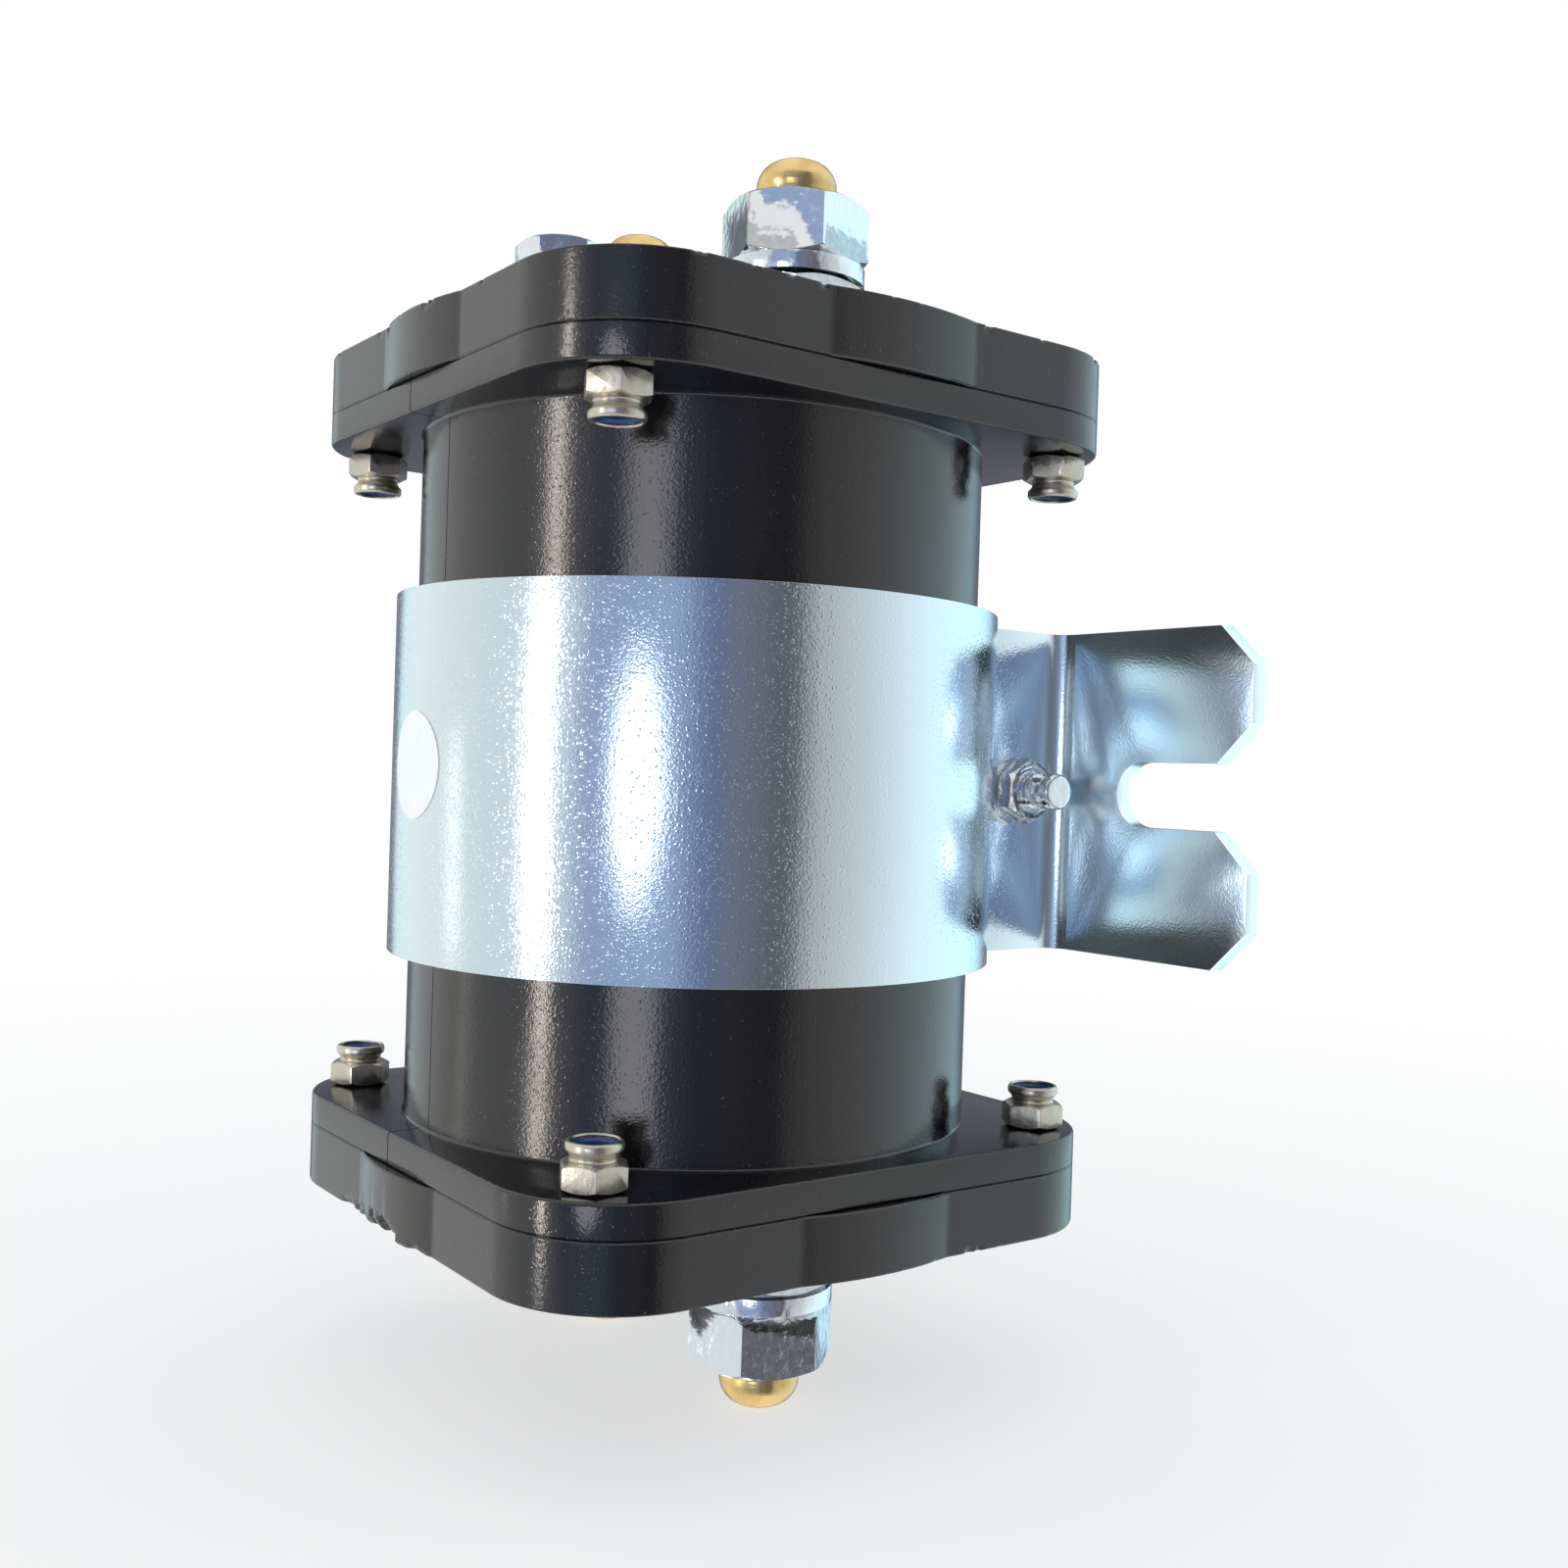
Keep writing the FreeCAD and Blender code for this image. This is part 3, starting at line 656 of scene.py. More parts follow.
@dataclass(frozen=True)
class MouldedBlack:
    """Glossy moulded black with a fine grain, a little dust and a few scratches.

    Attributes:
        colour: The plastic's colour.
        dust: The colour of dust and scratches.
        gloss: Roughness where it is shiniest.
        worn: Roughness where it is dullest.
        grain_depth: Depth of the grain in metres.
        grain_scale: How many grains lie along a metre.
        pit_depth: Depth of the pits in metres.
    """

    colour: Colour = (0.0065, 0.0065, 0.0085)
    dust: Colour = (0.14, 0.16, 0.20)
    gloss: float = 0.10
    worn: float = 0.17
    grain_depth: float = 0.000022
    grain_scale: float = 2800.0
    pit_depth: float = 0.000012

    def build(self, name: str) -> Material:
        """Makes the material under the given name."""
        s = Surface(name, IOR=1.66, Specular_Tint=(1.0, 0.94, 0.89, 1.0))
        here = s.place()
        clouds = s.effect(effects.mottle, here, Scale=60.0, Contrast=2.4)
        dust = s.effect(effects.specks, here, Spacing=2600.0, Size=0.28, Share=0.05)
        lint = s.effect(effects.specks, here, Spacing=700.0, Size=0.13, Share=0.12)
        marks = s.math("MAXIMUM", dust, lint)
        lines = s.scratches(((0, 84, 8), 0.006, 0.010), ((0, 20, 60), 0.004, 0.014), ((30, -48, 20), 0.003, 0.012))
        marks = s.math("MAXIMUM", marks, lines)
        colour = s.mix(s.math("MULTIPLY", marks, 0.6), self.colour, self.dust)
        rough = s.ramp(clouds, 0.0, 1.0, self.gloss, self.worn)
        rough = s.math("ADD", rough, s.math("MULTIPLY", marks, 0.3), clamp=True)
        grain = s.effect(effects.grain, here, Scale=self.grain_scale, Roughness=0.6)
        pits = s.effect(effects.specks, here, Spacing=2400.0, Size=0.42, Share=0.35)
        normal = s.bump(grain, self.grain_depth, s.bump(pits, self.pit_depth))
        return s.feed(Base_Color=colour, Roughness=rough, Normal=normal)


@dataclass(frozen=True)
class ZincPlate:
    """Bright zinc plate over steel: a sparkling grain, crossed by fine scratches and nicks.

    Attributes:
        clean: Colour where it is clean.
        cloudy: Colour where it is clouded.
        gloss: Roughness where it is shiniest.
        dull: Roughness where it is dullest.
        grain_depth: Depth of the grain in metres.
        grain_scale: How many grains lie along a metre.
        wave_depth: Depth of the slow waves in metres.
        wave_scale: How many waves lie along a metre.
        pit_depth: Depth of the pits in metres.
        wear: How densely scratches and nicks lie, 1 for usual.
        line_width: The widest scratch, in metres.
        calm: Where along Y the wear fades out and the painted sheen fades in, and where the wear has gone, or None for
            wear all over.
        calm_tint: Colour where there is no wear: paler and bluer, a painted sheen that stands in for the bright
            reflection there.
        calm_rough: The least roughness where there is no wear.
    """

    clean: Colour
    cloudy: Colour
    gloss: float = 0.07
    dull: float = 0.15
    grain_depth: float = 0.000016
    grain_scale: float = 4500.0
    wave_depth: float = 0.000008
    wave_scale: float = 300.0
    pit_depth: float = 0.000016
    wear: float = 1.0
    line_width: float = 0.0001
    calm: tuple[float, float] | None = None
    calm_tint: Colour = (0.84, 0.96, 1.0)
    calm_rough: float = 0.2

    def build(self, name: str) -> Material:
        """Makes the material under the given name."""
        s = Surface(name, Metallic=1.0)
        here = s.place()
        clouds = s.effect(effects.mottle, here, Scale=45.0, Contrast=1.8)
        fine = s.effect(effects.mottle, here, Scale=1300.0, Contrast=2.2)
        nicks = s.effect(effects.specks, here, Spacing=1500.0, Size=0.24, Share=0.05 * self.wear)
        ways = (
            ((0, 76, 14), 0.007, 0.03),
            ((0, 38, 62), 0.005, 0.035),
            ((20, -52, 24), 0.004, 0.035),
            ((60, 8, 46), 0.0016, 0.05),
        )
        worn_ways = ((turn, length, share * self.wear) for turn, length, share in ways)
        lines = s.scratches(*worn_ways, width=self.line_width)
        worn = s.math("MAXIMUM", lines, nicks)
        colour = s.mix(s.math("MULTIPLY", clouds, 0.6), self.clean, self.cloudy)
        pits = s.effect(effects.specks, here, Spacing=2500.0, Size=0.42, Share=0.4)
        if self.calm:
            depth = s.add("ShaderNodeSeparateXYZ", {0: here}).outputs[1]
            calm = s.ramp(depth, *self.calm)
            # Painted sheen: where the wear has gone, the colour turns to the paler, bluer calm_tint in place of a
            # bright reflection.
            colour = s.mix(calm, colour, self.calm_tint)
            busy = s.math("SUBTRACT", 1.0, calm)
            pits, worn = s.math("MULTIPLY", pits, busy), s.math("MULTIPLY", worn, busy)
        colour = s.mix(s.math("MULTIPLY", worn, 0.7), colour, (0.90, 0.93, 0.95))
        rough = s.ramp(fine, 0.0, 1.0, self.gloss, self.dull)
        rough = s.math("ADD", rough, s.math("MULTIPLY", worn, 0.45), clamp=True)
        if self.calm:
            rough = s.math("MAXIMUM", rough, s.math("MULTIPLY", calm, self.calm_rough))
        grain = s.effect(effects.grain, here, Scale=self.grain_scale, Roughness=0.55)
        wave = s.effect(effects.grain, s.place(move=(0.1, 0.2, 0.3)), Scale=self.wave_scale, Roughness=0.3)
        normal = s.bump(grain, self.grain_depth, s.bump(pits, self.pit_depth, s.bump(wave, self.wave_depth)))
        return s.feed(Base_Color=colour, Roughness=rough, Normal=normal)


@dataclass(frozen=True)
class BareMetal:
    """Bare turned or drawn metal, a little tarnished."""

    bright: Colour
    tarnished: Colour
    gloss: float = 0.18
    dull: float = 0.38
    mark_depth: float = 0.000012

    def build(self, name: str) -> Material:
        """Makes the material under the given name."""
        s = Surface(name, Metallic=1.0)
        here = s.place()
        stain = s.effect(effects.mottle, here, Scale=260.0, Contrast=4.0)
        fine = s.effect(effects.mottle, here, Scale=1500.0, Contrast=2.5)
        lines = s.scratches(((0, 5, 20), 0.003, 0.06), ((0, -8, 80), 0.003, 0.06))
        colour = s.mix(s.math("MULTIPLY", stain, 0.75), self.bright, self.tarnished)
        rough = s.ramp(s.math("MULTIPLY", s.math("ADD", stain, fine), 0.5), 0.0, 1.0, self.gloss, self.dull)
        marks = s.effect(effects.grain, s.place(scale=(0.25, 0.25, 3.0)), Scale=1900.0, Roughness=0.6)
        normal = s.bump(s.math("SUBTRACT", marks, lines), self.mark_depth)
        return s.feed(Base_Color=colour, Roughness=rough, Normal=normal)


@dataclass(frozen=True)
class SoftSurface:
    """A dull moulded, fibrous or printed surface with a fine tooth."""

    colour: Colour
    shade: Colour
    gloss: float = 0.42
    dull: float = 0.62
    tooth: float = 0.00001
    tooth_scale: float = 1800.0

    def build(self, name: str) -> Material:
        """Makes the material under the given name."""
        s = Surface(name, IOR=1.48)
        here = s.place()
        clouds = s.effect(effects.mottle, here, Scale=90.0, Contrast=2.6)
        fibres = s.effect(effects.mottle, s.place(scale=(1.0, 1.0, 0.25)), Scale=1400.0, Contrast=2.0)
        blend = s.math("MULTIPLY", s.math("ADD", clouds, fibres), 0.5)
        colour = s.mix(blend, self.colour, self.shade)
        rough = s.ramp(clouds, 0.0, 1.0, self.gloss, self.dull)
        tooth = s.effect(effects.grain, here, Scale=self.tooth_scale, Roughness=0.6)
        return s.feed(Base_Color=colour, Roughness=rough, Normal=s.bump(tooth, self.tooth))


@dataclass(frozen=True)
class WoundWire:
    """Enamelled wire laid turn on turn round the upright axis, with painted shade in the grooves between turns."""

    colour: Colour = (0.42, 0.13, 0.05)
    # The groove colour is painted shade, darker where the turns meet.
    groove: Colour = (0.12, 0.03, 0.015)
    pitch: float = 0.0009

    def build(self, name: str) -> Material:
        """Makes the material under the given name."""
        s = Surface(name, Metallic=0.6)
        height = s.add("ShaderNodeSeparateXYZ", {0: s.place()}).outputs[2]
        turns = s.math("MULTIPLY", height, 1.0 / self.pitch)
        crown = s.math("ABSOLUTE", s.math("SINE", s.math("MULTIPLY", turns, math.pi)))
        stain = s.effect(effects.mottle, s.place(), Scale=200.0, Contrast=3.0)
        # Painted shade: the colour falls to the groove colour between the turns, where shade would fall.
        colour = s.mix(s.math("MULTIPLY", crown, s.ramp(stain, 0.0, 1.0, 0.75, 1.0)), self.groove, self.colour)
        return s.feed(Base_Color=colour, Roughness=s.ramp(stain, 0.0, 1.0, 0.22, 0.36), Normal=s.bump(crown, 0.0002))


FINISHES: dict[str, MouldedBlack | ZincPlate | BareMetal | SoftSurface | WoundWire] = {
    "moulded_black": MouldedBlack(),
    # The strap's back stretch, by the ears, gets a painted sheen: a paler, bluer colour in place of a bright
    # reflection.
    "zinc_strap": ZincPlate(
        (0.70, 0.78, 0.82), (0.66, 0.74, 0.79), grain_depth=0.000024, grain_scale=3100.0, pit_depth=0.000022, wear=3.0,
        calm=(-0.016, -0.006),
    ),
    "zinc_hardware": ZincPlate(
        (0.78, 0.80, 0.82), (0.66, 0.69, 0.73), gloss=0.10, dull=0.22, grain_depth=0.00001, grain_scale=3200.0,
        wave_depth=0.0001, wave_scale=900.0, pit_depth=0.000006, wear=0.6,
    ),
    "zinc_lock_nut": ZincPlate(
        (0.62, 0.56, 0.46), (0.50, 0.45, 0.37), gloss=0.26, dull=0.40, grain_depth=0.000012, grain_scale=3200.0,
        wave_depth=0.00005, wave_scale=900.0, pit_depth=0.000004, wear=0.4,
    ),
    "blue_nylon": SoftSurface((0.02, 0.06, 0.20), (0.015, 0.04, 0.13), gloss=0.25, dull=0.4),
    "paper_label": SoftSurface((0.93, 0.94, 0.96), (0.86, 0.88, 0.92), gloss=0.45, dull=0.6, tooth=0.000006),
    "brass": BareMetal((0.86, 0.62, 0.26), (0.60, 0.38, 0.13)),
    "copper": BareMetal((0.82, 0.42, 0.27), (0.50, 0.22, 0.13)),
    "copper_winding": WoundWire(),
    "bobbin_nylon": SoftSurface((0.78, 0.76, 0.68), (0.68, 0.66, 0.57)),
    "red_fibre": SoftSurface((0.40, 0.12, 0.07), (0.26, 0.07, 0.045), gloss=0.5, dull=0.7),
    "soft_iron": BareMetal((0.50, 0.51, 0.53), (0.27, 0.27, 0.29), gloss=0.28, dull=0.5),
    "spring_steel": BareMetal((0.62, 0.63, 0.66), (0.38, 0.39, 0.42), gloss=0.16, dull=0.32),
}


class Workshop:
    """Knows the finishes and sets each piece on its body in its finish."""

    def __init__(self) -> None:
        """Builds every finish and reads where the case's axis is."""
        self.materials = {slot: finish.build(slot) for slot, finish in FINISHES.items()}
        low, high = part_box("coil_housing")
        self.axis = Vector(((low.x + high.x) / 2, (low.y + high.y) / 2, 0.0))

    def dress(self, obj: Object, slot: str) -> None:
        """Gives a piece its finish.

        Args:
            obj: The piece.
            slot: The record's material slot.
        """
        obj.data.materials.clear()
        obj.data.materials.append(self.materials[slot])

    def fit(self, obj: Object, slot: str, *nodes: str) -> Object:
        """Dresses a new piece, sets it on the fixed body and lets it stand for nodes.

        Args:
            obj: The piece.
            slot: The record's material slot.
            *nodes: The nodes that it stands for.

        Returns:
            The piece.
        """
        self.dress(obj, slot)
        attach(obj, ROOT)
        if nodes:
            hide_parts(*nodes)
        log.info("%s: %d faces", obj.name, len(obj.data.polygons))
        return obj

    def dress_nodes(self) -> None:
        """Gives every node that still shows its finish."""
        slots = {part["node"]: part["material_slot"] for part in frame["record"]["subparts"]}
        for node, obj in frame["nodes"].items():
            self.dress(obj, slots[node])


@dataclass
class Strap:
    """The folded sheet strap: a band, two legs and two slotted ears."""

    shop: Workshop
    sheet: float = 0.0025
    leg_outside: float = 0.0165
    bend_inside: float = 0.003
    slot_width: float = 0.009
    slot_bottom: float = 0.0283
    corner_along: float = 0.0054
    corner_across: float = 0.0052
    hole_radius: float = 0.00275
    edge_rounding: float = 0.00045
    leg_lean: float = 0.075
    lean_reach: float = 0.009
    lean_fade: float = 0.004
    band_steps: int = 96
    bend_steps: int = 12

    def __post_init__(self) -> None:
        """Reads the strap's reach, height and place from the frame."""
        low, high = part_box("mounting_strap")
        self.reach = high.x
        self.half = high.z
        self.back = high.y
        self.radius = self.shop.axis.y - low.y - self.sheet / 2
        bolt_low, bolt_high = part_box("clamp_bolt")
        self.bolt_y = (bolt_low.y + bolt_high.y) / 2

    def build(self) -> Object:
        """Folds the strip, gives it its thickness, cuts the slots and rounds the edges.

        Returns:
            The strap.
        """
        obj = tidy(modify(self._half_strip(), "MIRROR", merge_threshold=MERGE))
        modify(obj, "SOLIDIFY", thickness=self.sheet, offset=0.0, use_even_offset=True)
        self._lean_legs(obj)
        self._cut_ears(obj)
        soften(obj, self.edge_rounding, 3)
        return self.shop.fit(obj, "zinc_strap", "mounting_strap")

    def _half_strip(self) -> Object:
        """The strip's middle line from the front of the band to the right ear's tip, as an upright sheet."""
        axis = self.shop.axis
        leg = self.leg_outside - self.sheet / 2
        bend = self.bend_inside + self.sheet / 2
        ear = self.back - self.sheet / 2
        turn = math.acos((leg + bend) / (self.radius + bend))
        root = axis + (self.radius + bend) * Vector((math.cos(turn), math.sin(turn), 0))
        fold = Vector((leg + bend, ear - bend, 0))
        front = axis - Vector((0, self.radius, 0))
        band_end = axis + self.radius * Vector((math.cos(turn), math.sin(turn), 0))
        obj = primitive("strap_plate", bpy.ops.mesh.primitive_plane_add, size=1.0)
        for vertex in obj.data.vertices:
            vertex.co = front + Vector((vertex.co.x, 0, 2 * self.half * vertex.co.y))
        with editing(obj):
            pick(obj, Part.VERTS, lambda v: v.co.x > 0)
            bpy.ops.mesh.delete(type="VERT")
        for vertex in obj.data.vertices:
            vertex.co.x = 0.0
        with editing(obj):
            bpy.ops.mesh.select_all(action="SELECT")
            self._swing(obj, front, axis, math.pi / 2 + turn, self.band_steps)
            self._swing(obj, band_end, root, -turn, self.bend_steps)
            leg_start = Vector((leg, root.y, 0))
            leg_end = Vector((leg, fold.y, 0))
            self._draw(obj, leg_start, leg_end)
            self._swing(obj, leg_end, fold, -math.pi / 2, self.bend_steps)
            self._draw(obj, Vector((fold.x, ear, 0)), Vector((self.reach, ear, 0)))
        return obj

    @staticmethod
    def _pick_end(obj: Object, place: Vector) -> None:
        """Selects the strip's upright edge at a place."""
        near = 1e-5
        pick(obj, Part.EDGES, lambda e: all((v.co.xy - place.xy).length < near for v in e.verts))

    def _swing(self, obj: Object, start: Vector, centre: Vector, angle: float, steps: int) -> None:
        """Carries the strip's end round a centre.

        Args:
            obj: The strip in edit mode.
            start: Where its end is.
            centre: The centre of the arc.
            angle: The turn in radians, to the left if above 0.
            steps: How many faces the arc has.
        """
        self._pick_end(obj, start)
        bpy.ops.mesh.spin(steps=steps, angle=-angle, center=centre, axis=(0, 0, 1))

    def _draw(self, obj: Object, start: Vector, end: Vector) -> None:
        """Carries the strip's end straight on.

        Args:
            obj: The strip in edit mode.
            start: Where its end is.
            end: Where it goes.
        """
        self._pick_end(obj, start)
        bpy.ops.mesh.extrude_region_move(TRANSFORM_OT_translate={"value": end - start})

    def _lean_legs(self, obj: Object) -> None:
        """Leans each leg a little about the clamp bolt, so that the pair opens towards the band."""
        fold = self.back - self.sheet - self.bend_inside
        reach = self.leg_outside + self.bend_inside + MERGE
        for vertex in obj.data.vertices:
            x, y = vertex.co.x, vertex.co.y
            if abs(x) < reach and y > self.bolt_y - self.lean_reach:
                away = min(self.bolt_y - y, self.lean_fade) if y < fold else self.bolt_y - fold
                fade = min(1.0, max(0.0, (y - self.bolt_y + self.lean_reach) / self.lean_fade))
                vertex.co.x += math.copysign(self.leg_lean * away * fade, x)

    def _cut_ears(self, obj: Object) -> None:
        """Cuts the open slots, the prongs' corners and the clamp bolt's holes."""
        mouth = self.slot_width / 2
        centre = self.slot_bottom + mouth
        deep = 3 * self.sheet
        for side in (1, -1):
            slot = cylinder("slot_tool", 64, mouth, -deep, deep)
            for vertex in slot.data.vertices:
                if vertex.co.x > MERGE:
                    vertex.co.x += self.reach
            slot.data.transform(Matrix.Rotation(math.pi / 2, 4, "X"))
            slot.data.transform(Matrix.Translation((centre, self.back, 0)))
            if side < 0:
                slot.data.transform(Matrix.Rotation(math.pi, 4, "Z") @ Matrix.Translation((0, -2 * self.back, 0)))
            combine(obj, tidy(slot), Join.CUT)
            for level, inward in ((self.half, -1), (mouth, 1), (-mouth, -1), (-self.half, 1)):
                combine(obj, self._corner_tool(side, level, inward, deep), Join.CUT)
        hole = cylinder("hole_tool", 48, self.hole_radius, -2 * self.leg_outside, 2 * self.leg_outside)
        hole.data.transform(Matrix.Translation((0, self.bolt_y, 0)) @ Matrix.Rotation(math.pi / 2, 4, "Y"))
        combine(obj, hole, Join.CUT)

    def _corner_tool(self, side: int, level: float, inward: int, deep: float) -> Object:
        """A three-sided tool that takes off one corner of a prong.

        Args:
            side: 1 for the right ear and -1 for the left.
            level: The corner's height.
            inward: The way to the prong's middle.
            deep: How far the tool reaches to each side of the ear.

        Returns:
            The tool.
        """
        over = 0.004
        tip = Vector((side * self.reach, level))
        along = Vector((-side * self.corner_along, 0))
        across = Vector((0, inward * self.corner_across))
        way = (across - along).normalized()
        out = -(along.normalized() + across.normalized()) * over
        start, end = tip + along - way * over, tip + across + way * over
        outline = [start, end, end + out, start + out]
        tool = block("corner_tool", (-1, -1, -1), (1, 1, 1))
        for vertex in tool.data.vertices:
            x, y, z = (c > 0 for c in vertex.co)
            place = outline[(1 if x else 0) if not z else (2 if x else 3)]
            vertex.co = (place.x, self.back + (deep if y else -deep), place.y)
        return tidy(tool)


@dataclass(frozen=True)
class Footprint:
    """The rounded square that the case's flanges and the caps share, with lobes on the caps."""

    half: float = 0.0409
    corner_radius: float = 0.0153
    lobe_radius: float = 0.0

    def radius(self, angle: float) -> float:
        """The outline's radius at an angle about the axis, in radians."""
        across = angle % (math.pi / 2)
        across = min(across, math.pi / 2 - across)
        straight = self.half - self.corner_radius
        side = self.half / math.cos(across)
        if side * math.sin(across) > straight:
            middle = straight * math.sqrt(2)
            away = math.pi / 4 - across
            side = middle * math.cos(away) + math.sqrt(self.corner_radius**2 - (middle * math.sin(away)) ** 2)
        return max(side, self.lobe_radius)

    def plate(self, name: str, sides: int, low: float, high: float) -> Object:
        """A plate with this outline.

        Args:
            name: The object's name.
            sides: How many points its outline has.
            low: Height of its lower face.
            high: Height of its upper face.

        Returns:
            The plate, centred on the origin.
        """
        obj = cylinder(name, sides, 1.0, low, high)
        for vertex in obj.data.vertices:
            angle = math.atan2(vertex.co.y, vertex.co.x)
            vertex.co.xy = self.radius(angle) * Vector((math.cos(angle), math.sin(angle)))
        return obj


SCREW_PLACE = 0.0326
SCREW_HOLE = 0.00225
CORNERS = ((1, 1), (-1, 1), (-1, -1), (1, -1))
MIRRORED = Matrix.Scale(-1, 4, (0, 0, 1))


@dataclass
class CaseBody:
    """The moulded tube with a flange at each end, and the seam that its mould left."""

    shop: Workshop
    tube_radius: float = 0.0369
    bore: float = 0.0330
    flange: float = 0.0040
    root_radius: float = 0.0004
    rim_rounding: float = 0.00045
    joint_edge: float = 0.00022
    outline_points: int = 480
    seam_place: float = -0.0026
    seam_width: float = 0.00022
    seam_depth: float = 0.00025
    ridge_width: float = 0.0003
    ridge_rise: float = 0.00005

    def build(self) -> Object:
        """Joins two flanges to a turned tube, bores it and cuts the seam.

        Returns:
            The case.
        """
        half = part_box("coil_housing")[1].z
        under = half - self.flange
        obj = self._tube(under)
        for sign in (1, -1):
            plate = Footprint().plate("flange_tool", self.outline_points, under, half)
            with editing(plate):
                round_rim(plate, under, self.rim_rounding, 3)
                round_rim(plate, half, self.joint_edge)
            if sign < 0:
                plate.data.transform(MIRRORED)
            combine(obj, tidy(plate), Join.ADD)
            self._cut_seam(obj, under, half, sign)
        drill(obj, 96, self.bore, -2 * half, 2 * half)
        for sx, sy in CORNERS:
            drill(obj, 32, SCREW_HOLE, -2 * half, 2 * half, sx * SCREW_PLACE, sy * SCREW_PLACE)
        obj.data.transform(Matrix.Translation(self.shop.axis))
        shade(tidy(obj), 30)
        self._ridge(under)
        return self.shop.fit(obj, "moulded_black", "coil_housing")

    def _tube(self, under: float) -> Object:
        """The tube between the flanges, flared a little at both roots."""
        r, root = self.tube_radius, self.root_radius
        inside = under + root
        angles = (0.0, 0.4, 0.8, 1.2, math.pi / 2)
        flare = [(r + root * (1 - math.cos(a)), under - root * (1 - math.sin(a))) for a in angles]
        upper = [(0.0, inside), (r + root, inside), *reversed(flare)]
        return lathe("case_body", [*upper, *((x, -z) for x, z in reversed(upper))], 240)

    def _cut_seam(self, obj: Object, under: float, half: float, sign: int) -> None:
        """Cuts the thin groove of the mould's seam across one flange's edge and face."""
        front = -Footprint().half
        wide, deep = self.seam_width / 2, self.seam_depth
        edge = block("seam_tool", (-wide, front - deep, under - deep), (wide, front + deep, half + deep))
        face = block("seam_tool", (-wide, front - deep, under - deep), (wide, -self.tube_radius, under + deep * 0.6))
        for tool in (edge, face):
            tool.data.transform(Matrix.Translation((self.seam_place, 0, 0)))
            if sign < 0:
                tool.data.transform(MIRRORED)
            combine(obj, tidy(tool), Join.CUT)

    def _ridge(self, under: float) -> None:
        """The faint raised line that the mould leaves down the front of the tube."""
        axis = self.shop.axis
        face, wide, rise = axis.y - self.tube_radius, self.ridge_width / 2, self.ridge_rise
        low, high = self.root_radius - under, under - self.root_radius
        obj = block("seam_ridge", (-wide, face - rise, low), (wide, face + rise, high))
        with editing(obj):
            pick(obj, Part.FACES, lambda f: f.normal.y < -0.9)
            bpy.ops.transform.resize(value=(0.35, 1.0, 1.0))
        self.shop.fit(shade(obj), "moulded_black")


@dataclass(frozen=True)
class Chipping:
    """Where a cap's outer rim is chipped, and how much.

    Attributes:
        fine: Size of the small chips, in metres.
        coarse: Size of the bites in the broken stretch, in metres.
        spared: Between which azimuths, in degrees, the small chips are slight.
        broken: Between which azimuths, in degrees, the rim is bitten.
        spared_share: What is left of the small chips there.
        fine_scales: How many large and small features of the small chips lie along a metre.
        coarse_scales: How many large and small features of the bites lie along a metre.
    """

    fine: float
    coarse: float
    spared: tuple[float, float]
    broken: tuple[float, float]
    spared_share: float = 0.15
    fine_scales: tuple[float, float] = (620.0, 1500.0)
    coarse_scales: tuple[float, float] = (260.0, 900.0)

    def size(self, place: Vector, seed: float) -> float:
        """The chip's size at a place on the rim.

        Args:
            place: The place, flat.
            seed: Makes each cap's chips its own.

        Returns:
            The size in metres.
        """
        azimuth = math.degrees(math.atan2(place.y, place.x))
        shift = Vector((seed, 2 * seed, 0.37))
        wide, narrow = (noise.noise(place * scale + shift) for scale in self.fine_scales)
        bite = wide * 0.9 + narrow * 0.7 - 0.22
        size = max(0.0, bite) * self.fine
        if self.spared[0] < azimuth < self.spared[1]:
            size *= self.spared_share
        middle, reach = sum(self.broken) / 2, (self.broken[1] - self.broken[0]) / 2
        window = max(0.0, 1 - ((azimuth - middle) / reach) ** 2) if reach else 0.0
        wide, narrow = (noise.noise(place * scale + shift) for scale in self.coarse_scales)
        large = max(0.0, wide + 0.25) + 0.35 * max(0.0, narrow)
        return size + large * window * self.coarse


CHIPPING = {
    End.TOP: Chipping(0.0015, 0.0, (-66, -36), (0, 0)),
    End.BOTTOM: Chipping(0.0009, 0.0038, (-74, -10), (-114, -76)),
}


